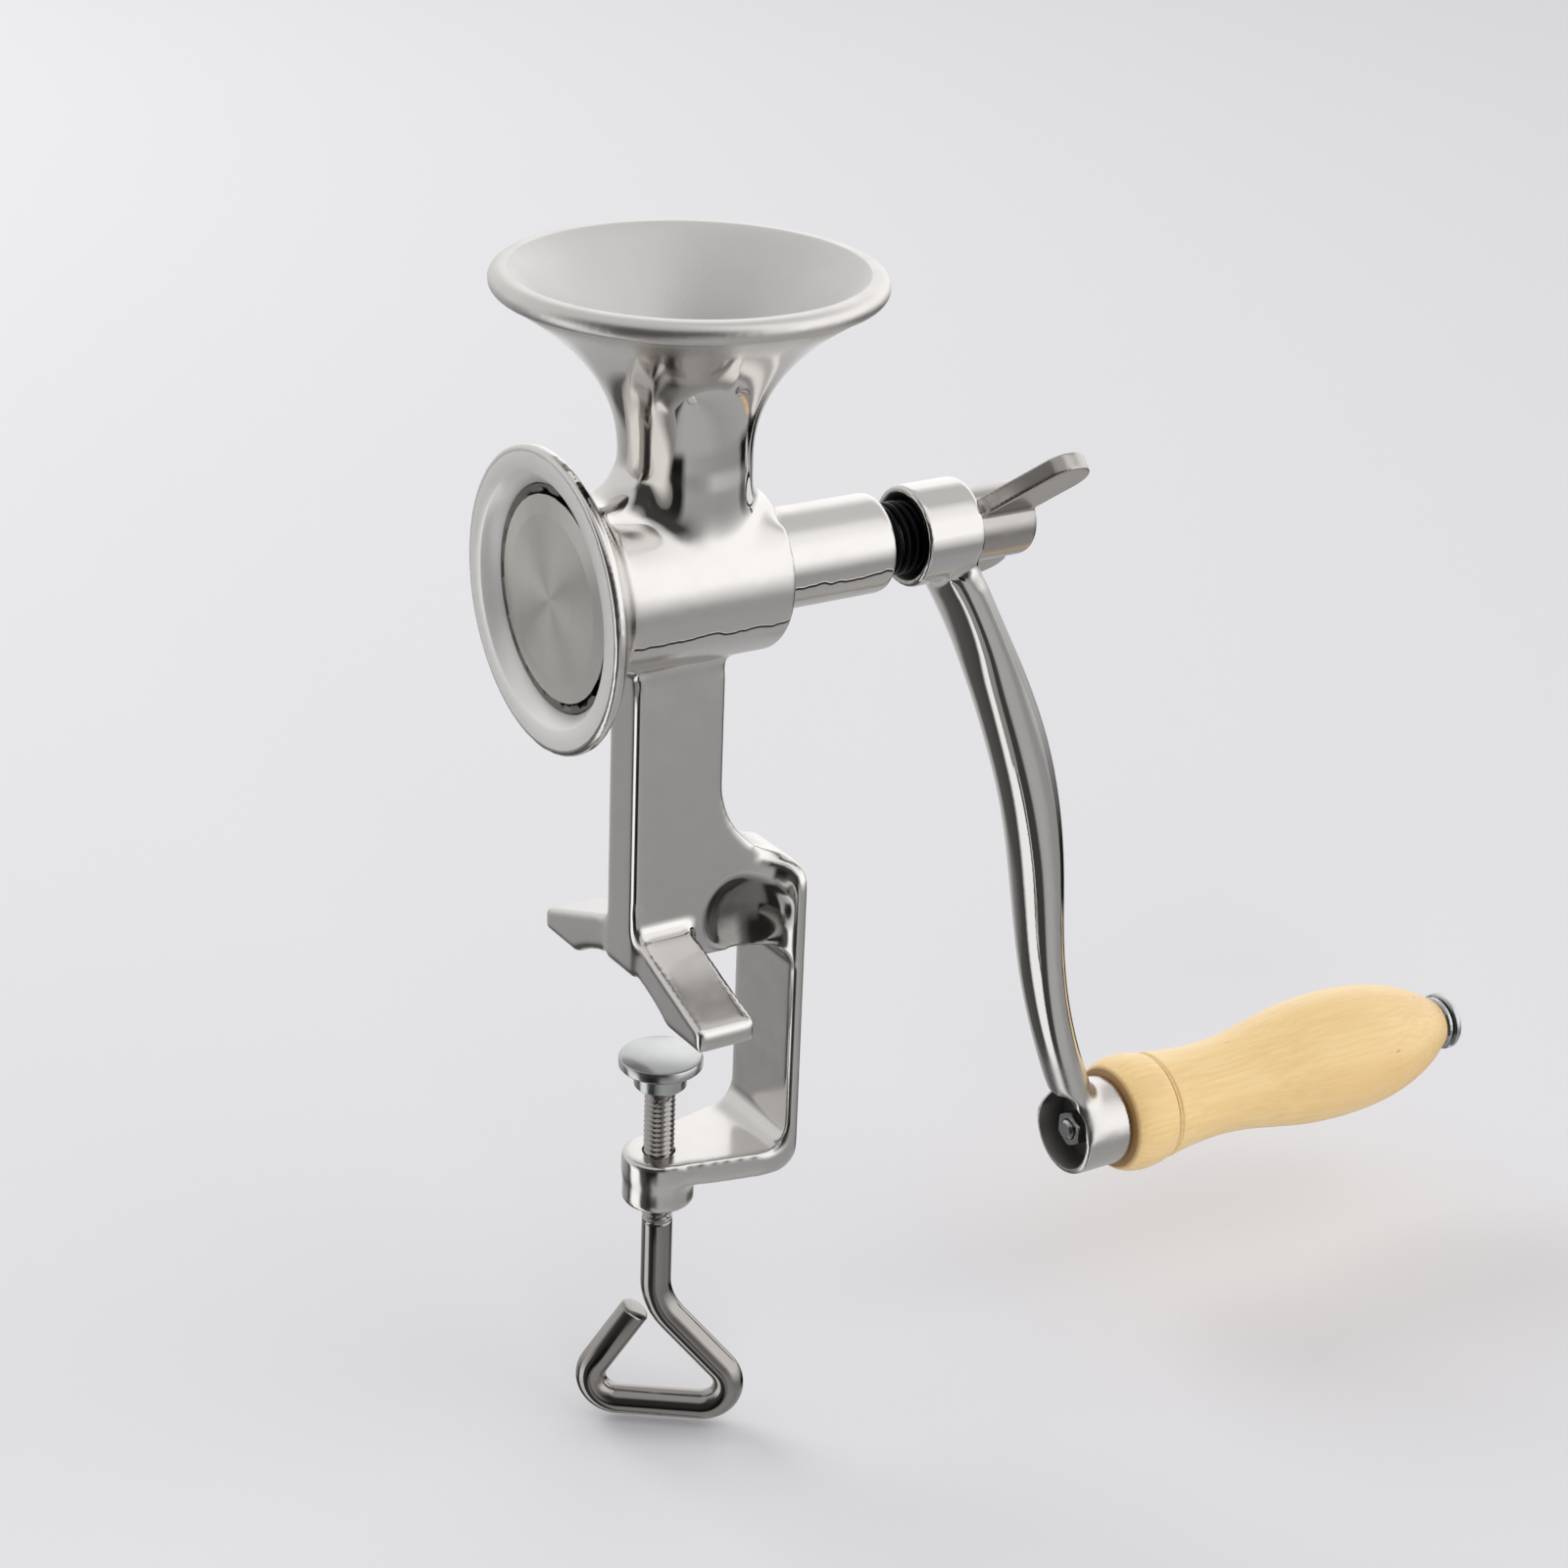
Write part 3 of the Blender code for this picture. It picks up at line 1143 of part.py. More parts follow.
def clamp_pad(parent):
    """Round pad with a socket for the ball end of the clamp screw."""
    hub_low = -PAD_THICKNESS - PAD_HUB_LENGTH
    cavity = BALL_RADIUS + GAP
    mouth = BALL_NECK_RADIUS + GAP
    ball = BALL_HEIGHT - PAD_TOP
    r = EDGE_ROUNDING
    outline = [(0, 0), (0, PAD_RADIUS - r), (-r, PAD_RADIUS), (-PAD_THICKNESS + r / 2, PAD_RADIUS),
               (-PAD_THICKNESS, PAD_RADIUS - r), (-PAD_THICKNESS, PAD_HUB_RADIUS),
               (hub_low, PAD_HUB_RADIUS - r)]
    start = asin(mouth / cavity)
    outline.append((hub_low, mouth))
    for i in range(6):
        angle = start + (pi - start) * i / 5
        if i == 5:
            outline.append((ball + cavity, 0))
        else:
            outline.append((ball - cavity * cos(angle), cavity * sin(angle)))
    item = turned("clamp_pad", outline, MEDIUM, around_z)
    return finish(item, satin_steel("clamp_pad"), parent)


def loop_path():
    """Middle line of the clamp rod below its ball, as (across, height) from the pad's top."""
    top = BALL_HEIGHT - PAD_TOP
    bend = -LOOP_BEND_DROP
    bottom = -LOOP_BOTTOM_DROP
    near_corner = (LOOP_BOTTOM_DROP - LOOP_BEND_DROP) * tan(LOOP_NEAR_ANGLE)
    far = -LOOP_FAR_OFFSET
    # The free end's near corner stops one clearance short of the bent shank
    standoff = ROD_RADIUS * (1 + cos(LOOP_NEAR_ANGLE + LOOP_FAR_ANGLE)) + LOOP_END_CLEARANCE
    near_normal = Vector((cos(LOOP_NEAR_ANGLE), sin(LOOP_NEAR_ANGLE)))
    toward = Vector((sin(LOOP_FAR_ANGLE), cos(LOOP_FAR_ANGLE)))
    corner = Vector((far, bottom))
    distance = (Vector((0, bend)) - corner).dot(near_normal)
    reach = (distance - standoff) / toward.dot(near_normal)
    end = corner + toward * reach
    corners = [(0, top), (0, bend), (near_corner, bottom), (far, bottom), tuple(end)]
    return corners, [0, LOOP_BEND_RADIUS, LOOP_CORNER_RADIUS, LOOP_CORNER_RADIUS, 0]


def clamp_screw(parent):
    """Ball end, threaded rod and a loop bent from the same rod as a handle."""
    corners, radii = loop_path()
    path = [Vector((u, 0, v)) for u, v in rounded_path(corners, radii, 6)]
    ball = path[0].z
    count = 14
    rings = []
    for i in range(5):
        angle = pi * i / 5.6
        if i == 0:
            rings.append([Vector((0, 0, ball + BALL_RADIUS))])
        else:
            height = ball + BALL_RADIUS * cos(angle)
            radius = BALL_RADIUS * sin(angle)
            rings.append([around_z(height, radius, 2 * pi * k / count) for k in range(count)])
    neck_top = ball - sqrt(BALL_RADIUS ** 2 - BALL_NECK_RADIUS ** 2)
    neck_low = -PAD_THICKNESS - PAD_HUB_LENGTH - EDGE_ROUNDING
    for height, radius in ((neck_top, BALL_NECK_RADIUS), (neck_low, BALL_NECK_RADIUS),
                           (neck_low, ROD_RADIUS - EDGE_ROUNDING), (neck_low - EDGE_ROUNDING, ROD_RADIUS)):
        rings.append([around_z(height, radius, 2 * pi * k / count) for k in range(count)])
    path = path[1:]
    for i, point in enumerate(path):
        before = path[i - 1] if i else Vector((0, 0, ball))
        after = path[i + 1] if i + 1 < len(path) else point + (point - before)
        ahead = ((point - before).normalized() + (after - point).normalized()).normalized()
        side = Vector((0, 1, 0))
        across = side.cross(ahead)
        ring = []
        for k in range(count):
            angle = 2 * pi * k / count
            ring.append(point - across * ROD_RADIUS * cos(angle) + side * ROD_RADIUS * sin(angle))
        rings.append(ring)
    last = path[-1]
    ahead = (last - path[-2]).normalized()
    rings.append([last + ahead * EDGE_ROUNDING])
    item = rings_object("clamp_screw", rings)
    item.rotation_euler.z = LOOP_TURN
    return finish(item, zinc_plate("clamp_screw"), parent)


def build():
    clear_scene()
    mill_body()
    barrel_axis = axis_empty("barrel_axis", (0, 0, AXIS_HEIGHT))
    fixed_burr_ring(barrel_axis)
    neck_bush(barrel_axis)
    crank_axis = axis_empty("crank_axis", (0, 0, AXIS_HEIGHT))
    grinding_cone(crank_axis)
    cross_pin("cone_pin", CONE_HUB_RADIUS, cone_pin_place(), crank_axis)
    feed_worm(crank_axis)
    thrust_washer(crank_axis)
    cross_pin("worm_pin", WORM_CORE_RADIUS, worm_pin_place(), crank_axis)
    drive_shaft(crank_axis)
    adjusting_spring(crank_axis)
    crank_arm(crank_axis)
    wing_nut(crank_axis)
    grip_axis = axis_empty("grip_axis", (0, 0, EYE_HEIGHT))
    wooden_grip(grip_axis)
    grip_sleeve(grip_axis)
    bolt_end_washer(grip_axis)
    handle_bolt(grip_axis)
    lock_washer(grip_axis)
    handle_nut(grip_axis)
    clamp_axis = axis_empty("clamp_axis", (-SCREW_SETBACK, 0, PAD_TOP))
    clamp_pad(clamp_axis)
    clamp_screw(clamp_axis)


build()
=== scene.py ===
"""Hand grain mill: polished castings, a turned wooden grip, a black adjusting spring and a bent clamp rod.

Sizes are in millimetres where they are written and become metres as the points are placed. X runs along
the barrel from the grinding head to the crank, Z is up, and the front is the side of -Y.
"""

from math import asin, atan2, cos, pi, radians, sin, tan

import bpy
from mathutils import Matrix, Vector
from mathutils.bvhtree import BVHTree


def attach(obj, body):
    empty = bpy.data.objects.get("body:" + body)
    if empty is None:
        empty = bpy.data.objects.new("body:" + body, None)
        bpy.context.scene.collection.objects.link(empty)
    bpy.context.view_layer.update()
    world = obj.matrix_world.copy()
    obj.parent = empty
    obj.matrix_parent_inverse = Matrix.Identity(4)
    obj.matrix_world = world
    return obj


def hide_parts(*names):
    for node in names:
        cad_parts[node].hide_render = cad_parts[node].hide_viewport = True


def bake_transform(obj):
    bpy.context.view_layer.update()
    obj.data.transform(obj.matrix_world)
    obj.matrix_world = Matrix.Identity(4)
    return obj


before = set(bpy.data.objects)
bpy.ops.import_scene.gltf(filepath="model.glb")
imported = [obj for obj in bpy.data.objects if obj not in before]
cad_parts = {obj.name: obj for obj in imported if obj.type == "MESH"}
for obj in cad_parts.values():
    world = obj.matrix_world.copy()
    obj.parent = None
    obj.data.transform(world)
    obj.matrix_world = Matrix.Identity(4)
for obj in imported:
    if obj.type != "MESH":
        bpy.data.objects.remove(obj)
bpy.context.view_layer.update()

MM = 0.001
# Heights of the barrel's and the eye's axes, and X of the clamp screw's axis
AXIS = 94.4
EYE = -69.7
SCREW = -2.4


# Modelling

def select_only(piece):
    bpy.ops.object.select_all(action="DESELECT")
    piece.select_set(True)
    bpy.context.view_layer.objects.active = piece


def draw_line(name, points):
    """One vertex, extruded from point to point. Stays in edit mode."""
    bpy.ops.object.select_all(action="DESELECT")
    bpy.ops.mesh.primitive_plane_add(size=MM)
    piece = bpy.context.object
    piece.name = name
    bpy.ops.object.mode_set(mode="EDIT")
    bpy.ops.mesh.select_all(action="SELECT")
    bpy.ops.mesh.merge(type="CENTER")
    bpy.ops.transform.translate(value=points[0])
    for here, ahead in zip(points, points[1:]):
        bpy.ops.mesh.extrude_vertices_move(TRANSFORM_OT_translate={"value": ahead - here})
    return piece


def turned(name, outline, axis="X", centre=(0, 0, AXIS), steps=160):
    """A lathe form: its outline of (along, radius) is spun about an axis through the centre."""
    middle = Vector(centre) * MM
    if axis == "X":
        points = [middle + Vector((along, 0, radius)) * MM for along, radius in outline]
    else:
        points = [middle + Vector((radius, 0, along)) * MM for along, radius in outline]
    piece = draw_line(name, points)
    bpy.ops.mesh.select_all(action="SELECT")
    bpy.ops.mesh.spin(steps=steps, angle=2 * pi, center=middle, axis=(axis == "X", 0, axis == "Z"))
    bpy.ops.mesh.select_all(action="SELECT")
    # The spin leaves many points in one place, on the axis and where it closes
    bpy.ops.mesh.remove_doubles(threshold=0.000003)
    bpy.ops.mesh.normals_make_consistent(inside=False)
    bpy.ops.object.mode_set(mode="OBJECT")
    return piece


def slab(name, outline, low, high, plane="XZ"):
    """A flat outline extruded from low to high across its plane."""
    bpy.ops.object.select_all(action="DESELECT")
    bpy.ops.mesh.primitive_circle_add(vertices=len(outline), radius=MM, fill_type="NGON")
    piece = bpy.context.object
    piece.name = name
    first, second = ("XYZ".index(letter) for letter in plane)
    across = 3 - first - second
    for vertex, (u, v) in zip(piece.data.vertices, outline):
        vertex.co[first] = u * MM
        vertex.co[second] = v * MM
        vertex.co[across] = low * MM
    reach = [0, 0, 0]
    reach[across] = (high - low) * MM
    bpy.ops.object.mode_set(mode="EDIT")
    bpy.ops.mesh.select_all(action="SELECT")
    bpy.ops.mesh.extrude_region_move(TRANSFORM_OT_translate={"value": reach})
    bpy.ops.mesh.select_all(action="SELECT")
    bpy.ops.mesh.normals_make_consistent(inside=False)
    bpy.ops.object.mode_set(mode="OBJECT")
    return piece


def lofted(name, rings):
    """Closed rings of equal count, bridged one after another and filled at both ends."""
    bpy.ops.object.select_all(action="DESELECT")
    bpy.ops.mesh.primitive_circle_add(vertices=len(rings[0]), radius=MM, fill_type="NGON")
    piece = bpy.context.object
    piece.name = name
    for vertex, point in zip(piece.data.vertices, rings[0]):
        vertex.co = point
    for ring in rings[1:]:
        bpy.ops.object.mode_set(mode="EDIT")
        bpy.ops.mesh.extrude_region_move()
        bpy.ops.object.mode_set(mode="OBJECT")
        moved = [v for v in piece.data.vertices if v.select]
        for vertex, point in zip(moved, ring):
            vertex.co = point
    bpy.ops.object.mode_set(mode="EDIT")
    bpy.ops.mesh.select_all(action="SELECT")
    bpy.ops.mesh.normals_make_consistent(inside=False)
    bpy.ops.object.mode_set(mode="OBJECT")
    return piece


def ball(name, centre, half_sizes):
    """An ellipsoid."""
    bpy.ops.object.select_all(action="DESELECT")
    bpy.ops.mesh.primitive_uv_sphere_add(segments=64, ring_count=32, radius=1)
    piece = bpy.context.object
    piece.name = name
    bpy.ops.transform.resize(value=[size * MM for size in half_sizes])
    bpy.ops.transform.translate(value=[place * MM for place in centre])
    bpy.ops.object.transform_apply(location=True, rotation=True, scale=True)
    return piece


def apply_last(piece):
    select_only(piece)
    bpy.ops.object.modifier_apply(modifier=piece.modifiers[-1].name)


def combined(piece, tool, operation="UNION"):
    """A Boolean, applied. The tool's own material comes with its faces."""
    change = piece.modifiers.new("combine", "BOOLEAN")
    change.operation = operation
    change.solver = "EXACT"
    change.material_mode = "TRANSFER"
    change.object = tool
    apply_last(piece)
    bpy.data.objects.remove(tool, do_unlink=True)


def cut(piece, tool):
    combined(piece, tool, "DIFFERENCE")


def smooth_shaded(piece, limit):
    select_only(piece)
    bpy.ops.object.shade_smooth_by_angle(angle=radians(limit))


def painted(piece, finish):
    piece.data.materials.clear()
    piece.data.materials.append(finish)
    return piece


def arc(u, v, radius, start, end, steps):
    return [(u + radius * cos(radians(start + (end - start) * i / steps)),
             v + radius * sin(radians(start + (end - start) * i / steps))) for i in range(steps + 1)]


def rounded_corner(back, corner, ahead, radius, steps=6):
    """The arc that takes a corner's place, as a list of points."""
    here = Vector(corner)
    to_back = (Vector(back) - here).normalized()
    to_ahead = (Vector(ahead) - here).normalized()
    half = to_back.angle(to_ahead) / 2
    start = here + to_back * (radius / tan(half))
    end = here + to_ahead * (radius / tan(half))
    centre = here + (to_back + to_ahead).normalized() * (radius / sin(half))
    points = []
    for i in range(steps + 1):
        points.append(tuple(centre + (start - centre).slerp(end - centre, i / steps) * radius))
    return points


def flowing(points, per_step):
    """A smooth outline through a few points, as a fair curve drawn with a batten."""
    found = []
    last = len(points) - 1
    for i in range(last):
        a, b, c, d = (Vector(points[max(0, min(last, k))]) for k in (i - 1, i, i + 1, i + 2))
        for k in range(per_step):
            t = k / per_step
            found.append(tuple(0.5 * (2 * b + (c - a) * t + (2 * a - 5 * b + 4 * c - d) * t * t
                                      + (3 * b - a - 3 * c + d) * t ** 3)))
    found.append(tuple(points[-1]))
    return found


def casting(name, forms, voxel, fillet, edge_passes, soft=(), wide=(), wide_fillet=(0, 0)):
    """Forms fused as a founder's pattern is: joined, skinned evenly, and filleted where they meet.

    Away from the fillets the forms keep their exact surface, except the soft ones, whose edges are rubbed
    down. A fillet, given by its reach and its passes, lies only where two forms meet at an angle. The two
    wide forms have a larger one between them.
    """
    bpy.context.view_layer.update()
    graph = bpy.context.evaluated_depsgraph_get()
    trees = {form.name: BVHTree.FromObject(form, graph) for form in forms}
    exact = forms[0]
    for form in forms[1:]:
        combined(exact, form)
    skin = exact.copy()
    skin.data = exact.data.copy()
    skin.name = name
    bpy.context.collection.objects.link(skin)
    mesher = skin.modifiers.new("even skin", "REMESH")
    mesher.mode = "VOXEL"
    mesher.voxel_size = voxel * MM
    mesher.use_smooth_shade = True
    apply_last(skin)
    groups = {key: skin.vertex_groups.new(name=key) for key in ("exact", "edges", "fillets", "wide")}
    # Surfaces whose normals have a cosine above this between them are flush and need no fillet
    flush = 0.9
    for vertex in skin.data.vertices:
        found = []
        for form, tree in trees.items():
            normal, distance = tree.find_nearest(vertex.co)[1::2]
            found.append((distance, form, normal))
        found.sort(key=lambda entry: entry[0])
        groups["edges" if found[0][1] in soft else "exact"].add([vertex.index], 1.0, "REPLACE")
        wide_pair = [entry for entry in found if entry[1] in wide]
        for key, pair, reach in (("fillets", found[:2], fillet[0]), ("wide", wide_pair, wide_fillet[0])):
            if len(pair) < 2:
                continue
            near = pair[1][0] / (reach * MM)
            if near < 1 and pair[0][2].dot(pair[1][2]) < flush:
                groups[key].add([vertex.index], min(1.0, 2 * (1 - near)), "REPLACE")
    wrap = skin.modifiers.new("true surface", "SHRINKWRAP")
    wrap.target = exact
    wrap.wrap_method = "NEAREST_SURFACEPOINT"
    wrap.vertex_group = "exact"
    apply_last(skin)
    for group, passes in (("edges", edge_passes), ("fillets", fillet[1]), ("wide", wide_fillet[1]), ("", 4)):
        rub = skin.modifiers.new("rub down", "SMOOTH")
        rub.factor = 0.5
        rub.iterations = passes
        rub.vertex_group = group
        apply_last(skin)
    skin.vertex_groups.clear()
    bpy.data.objects.remove(exact, do_unlink=True)
    return skin


# Nodes

def linear(code):
    """Linear red, green, blue and alpha of an sRGB hex colour."""
    values = [int(code[i:i + 2], 16) / 255 for i in (1, 3, 5)]
    return [v / 12.92 if v <= 0.04045 else ((v + 0.055) / 1.055) ** 2.4 for v in values] + [1.0]


def add_node(tree, kind, feeds=None, **properties):
    """A node with its properties set. Each input is fed a value, a hex colour or another node's output."""
    node = tree.nodes.new(kind)
    for key, value in properties.items():
        setattr(node, key, value)
    for key, value in (feeds or {}).items():
        if isinstance(value, bpy.types.NodeSocket):
            tree.links.new(value, node.inputs[key])
        else:
            node.inputs[key].default_value = linear(value) if isinstance(value, str) else value
    return node


def object_place(tree):
    return add_node(tree, "ShaderNodeTexCoord").outputs["Object"]


def mapped(tree, place, **feeds):
    return add_node(tree, "ShaderNodeMapping", {"Vector": place, **feeds}).outputs["Vector"]


def split(tree, place):
    return add_node(tree, "ShaderNodeSeparateXYZ", {"Vector": place}).outputs


def calculated(tree, operation, *terms):
    return add_node(tree, "ShaderNodeMath", dict(enumerate(terms)), operation=operation).outputs[0]


def length(tree, vector):
    return add_node(tree, "ShaderNodeVectorMath", {0: vector}, operation="LENGTH").outputs["Value"]


def ranged(tree, value, low, high, to_low=0.0, to_high=1.0):
    """A value mapped from one range to another and kept within it."""
    feeds = {"Value": value, "From Min": low, "From Max": high, "To Min": to_low, "To Max": to_high}
    return add_node(tree, "ShaderNodeMapRange", feeds).outputs["Result"]


def noise(tree, place, size, detail, roughness=0.5, dimensions="3D"):
    """Noise with features of about the given size, in space or, with 1D, along one distance."""
    feeds = {"Scale": 1 / (size * MM), "Detail": detail, "Roughness": roughness,
             "W" if dimensions == "1D" else "Vector": place}
    return add_node(tree, "ShaderNodeTexNoise", feeds, noise_dimensions=dimensions).outputs["Fac"]


def mixed(tree, share, first, second, blend="MIX"):
    """Two colours mixed, with more of the second as the share rises."""
    feeds = {"Factor": share, 6: first, 7: second}
    return add_node(tree, "ShaderNodeMix", feeds, data_type="RGBA", blend_type=blend).outputs[2]


def bumped(tree, height, depth, normal=None, strength=1.0):
    """Normals of a relief of the given depth, laid over other normals if there are any."""
    feeds = {"Strength": strength, "Distance": depth * MM, "Height": height}
    if normal is not None:
        feeds["Normal"] = normal
    return add_node(tree, "ShaderNodeBump", feeds).outputs["Normal"]


def ramp(tree, value, stops):
    """Colours along a value, from stops of (position, hex colour or grey) in rising order."""
    node = add_node(tree, "ShaderNodeValToRGB", {"Fac": value})
    elements = node.color_ramp.elements
    shades = [linear(shade) if isinstance(shade, str) else (shade, shade, shade, 1) for _, shade in stops]
    for i in (0, -1):
        elements[i].position = stops[i][0]
        elements[i].color = shades[i]
    for (position, _), shade in list(zip(stops, shades))[1:-1]:
        elements.new(position).color = shade
    return node.outputs["Color"]


# Finishes

def new_finish(name, colour, metallic, roughness, **more):
    """A material with its constant values on the shader."""
    finish = bpy.data.materials.new(name)
    finish.use_nodes = True
    shader = finish.node_tree.nodes["Principled BSDF"]
    shader.inputs["Base Color"].default_value = linear(colour)
    shader.inputs["Metallic"].default_value = metallic
    shader.inputs["Roughness"].default_value = roughness
    for key, value in more.items():
        shader.inputs[key.replace("_", " ")].default_value = value
    finish.diffuse_color = linear(colour)
    return finish, finish.node_tree, shader


def parting_line(tree, place, low_x, high_x, radius, angle):
    """Mask of the thin wavy seam that two mould halves leave along a barrel lying on the X axis.

    The angle is that of the seam above the barrel's front, in degrees.
    """
    sides = split(tree, mapped(tree, place, Location=(0, 0, -AXIS * MM)))
    front = calculated(tree, "MULTIPLY", sides["Y"], -1.0)
    turn = calculated(tree, "ARCTAN2", sides["Z"], front)
    # The seam wanders by about 1 mm over 8 mm of length, and fades out between these half widths
    wander = 3.0
    faint, full = 0.45, 0.2
    waves = noise(tree, sides["X"], 8, 2.0, dimensions="1D")
    strayed = calculated(tree, "MULTIPLY_ADD", waves, wander / radius, -radians(angle) - wander / 2 / radius)
    away = calculated(tree, "ABSOLUTE", calculated(tree, "ADD", turn, strayed))
    seam = ranged(tree, away, faint / radius, full / radius)
    along = calculated(tree, "COMPARE", sides["X"], (low_x + high_x) / 2 * MM, (high_x - low_x) / 2 * MM)
    height = calculated(tree, "MULTIPLY", sides["Z"], sides["Z"])
    far = calculated(tree, "SQRT", calculated(tree, "MULTIPLY_ADD", sides["Y"], sides["Y"], height))
    near = calculated(tree, "COMPARE", far, radius * MM, 0.5 * MM)
    return calculated(tree, "MULTIPLY", seam, calculated(tree, "MULTIPLY", along, near))


def hollow(tree, place, centre, half_sizes):
    """Mask of two egg-shaped spaces, one on each side of the middle plane, for the painted shade of the
    web's hollows.
    """
    sides = split(tree, place)
    beside = calculated(tree, "ABSOLUTE", sides["Y"])
    folded = add_node(tree, "ShaderNodeCombineXYZ", {"X": sides["X"], "Y": beside, "Z": sides["Z"]})
    shift = [-c / size for c, size in zip(centre, half_sizes)]
    scale = [1 / (size * MM) for size in half_sizes]
    unit = mapped(tree, folded.outputs["Vector"], Location=shift, Scale=scale)
    return ranged(tree, length(tree, unit), 1.04, 0.94)


def polished_casting(name, colour, roughness, wave, wave_depth, grain_depth, by_height=(), seams=(),
                     scoop=None):
    """Cast metal buffed on a wheel: mirror-bright, with slow waves and a faint haze of buffing marks.

    by_height adds roughness at some heights, for places that the wheel reached less. seams are the measures
    of parting lines, and scoop those of the web's hollows, which get a darker colour as painted shade.
    """
    finish, tree, shader = new_finish(name, colour, 1.0, roughness[0])
    place = object_place(tree)
    haze = ranged(tree, noise(tree, place, 6, 4.0), 0.35, 0.7, *roughness)
    if by_height:
        bottom, top = -60, 165
        level = ranged(tree, split(tree, place)["Z"], bottom * MM, top * MM)
        stops = [((height - bottom) / (top - bottom), more) for height, more in by_height]
        haze = calculated(tree, "ADD", haze, ramp(tree, level, stops))
    tree.links.new(haze, shader.inputs["Roughness"])
    normal = bumped(tree, noise(tree, place, wave, 1.0), wave_depth)
    # Buffing marks are finer than the render shows, so they are drawn 0.5 mm apart
    normal = bumped(tree, noise(tree, place, 0.5, 2.0), grain_depth, normal)
    if seams:
        lines = [parting_line(tree, place, *seam) for seam in seams]
        mask = lines[0]
        for more in lines[1:]:
            mask = calculated(tree, "ADD", mask, more)
        # The seams' dark tone is partly painted reflection: along the neck it stands in for a dark reflected
        # band
        tone = mixed(tree, mask, colour, "#4E453E")
        # The web's hollows are painted darker: painted shade and dark reflection in the recess
        if scoop:
            tone = mixed(tree, hollow(tree, place, *scoop), tone, "#504E4B")
        tree.links.new(tone, shader.inputs["Base Color"])
        normal = bumped(tree, mask, 0.15, normal)
    tree.links.new(normal, shader.inputs["Normal"])
    return finish


def rough_casting(name, colour, roughness, pit, depth, metallic=1.0):
    """Metal left as it came from the mould or only tumbled: grainy and dull."""
    finish, tree, shader = new_finish(name, colour, metallic, roughness)
    place = object_place(tree)
    tree.links.new(bumped(tree, noise(tree, place, pit, 4.0, 0.6), depth), shader.inputs["Normal"])
    blotch = ranged(tree, noise(tree, place, 7, 3.0), 0.0, 1.0, roughness - 0.08, roughness + 0.12)
    tree.links.new(blotch, shader.inputs["Roughness"])
    return finish


def turned_metal(name, colour, darker, roughness, ring, depth):
    """Metal faced on a lathe: fine rings about the barrel's axis, from the tool's feed."""
    finish, tree, shader = new_finish(name, colour, 1.0, roughness, Anisotropic=0.85)
    place = object_place(tree)
    around = add_node(tree, "ShaderNodeTangent", direction_type="RADIAL", axis="X")
    tree.links.new(around.outputs["Tangent"], shader.inputs["Tangent"])
    moved = mapped(tree, place, Location=(0, 0, -AXIS * MM))
    flat = add_node(tree, "ShaderNodeVectorMath", {0: moved, 1: (0, 1, 1)}, operation="MULTIPLY")
    rings = noise(tree, length(tree, flat.outputs["Vector"]), ring, 2.0, dimensions="1D")
    tree.links.new(bumped(tree, rings, depth), shader.inputs["Normal"])
    tree.links.new(mixed(tree, noise(tree, place, 9, 3.0), colour, darker), shader.inputs["Base Color"])
    return finish


def smooth_steel(name, colour, roughness):
    """Plated or oiled steel: smooth, with a faint cloudiness."""
    finish, tree, shader = new_finish(name, colour, 1.0, roughness)
    cloud = noise(tree, object_place(tree), 2.5, 4.0)
    spread = ranged(tree, cloud, 0.0, 1.0, roughness * 0.6, roughness * 1.6)
    tree.links.new(spread, shader.inputs["Roughness"])
    return finish


def varnished_beech(name):
    """Turned beech under clear varnish: pale honey with long fine grain and short brown flecks."""
    finish, tree, shader = new_finish(name, "#EDCE95", 0.0, 0.40, Coat_Weight=0.30, Coat_Roughness=0.25)
    place = object_place(tree)
    # Grain lines lie along the grip, about 0.8 mm apart and 40 mm long
    grain = noise(tree, mapped(tree, place, Scale=(0.02, 1.0, 1.0)), 0.8, 5.0, 0.55)
    pale = ramp(tree, grain, [(0.3, "#E9C585"), (0.68, "#F0D39A")])
    cloud = noise(tree, mapped(tree, place, Scale=(0.25, 1.0, 1.0)), 14, 3.0)
    warm = mixed(tree, ranged(tree, cloud, 0.42, 0.75, 0.0, 0.55), pale, "#E0B474")
    # Flecks are the ends of rays, about 2 mm long, and show in one cell of seven
    short = mapped(tree, place, Scale=(0.35, 1.0, 1.0))
    flecks = add_node(tree, "ShaderNodeTexVoronoi", {"Vector": short, "Scale": 1 / (2.6 * MM)}).outputs
    spots = ranged(tree, flecks["Distance"], 0.05, 0.16, 0.55, 0.0)
    chance = add_node(tree, "ShaderNodeSeparateColor", {"Color": flecks["Color"]}).outputs[0]
    chosen = calculated(tree, "MULTIPLY", spots, calculated(tree, "GREATER_THAN", chance, 0.86))
    flecked = mixed(tree, chosen, warm, "#9A6A38")
    # The burnt groove is darker, and so is the grip's end at the eye
    from_eye = ranged(tree, split(tree, place)["X"], 126.0 * MM, 146.0 * MM)
    burnt = ramp(tree, from_eye, [(0.0, "#7A4A22"), (0.06, "#FFFFFF"), (0.625, "#FFFFFF"),
                                  (0.655, "#8A5220"), (0.68, "#FFFFFF")])
    tree.links.new(mixed(tree, 1.0, flecked, burnt, "MULTIPLY"), shader.inputs["Base Color"])
    tree.links.new(bumped(tree, grain, 0.01, strength=0.3), shader.inputs["Normal"])
    return finish


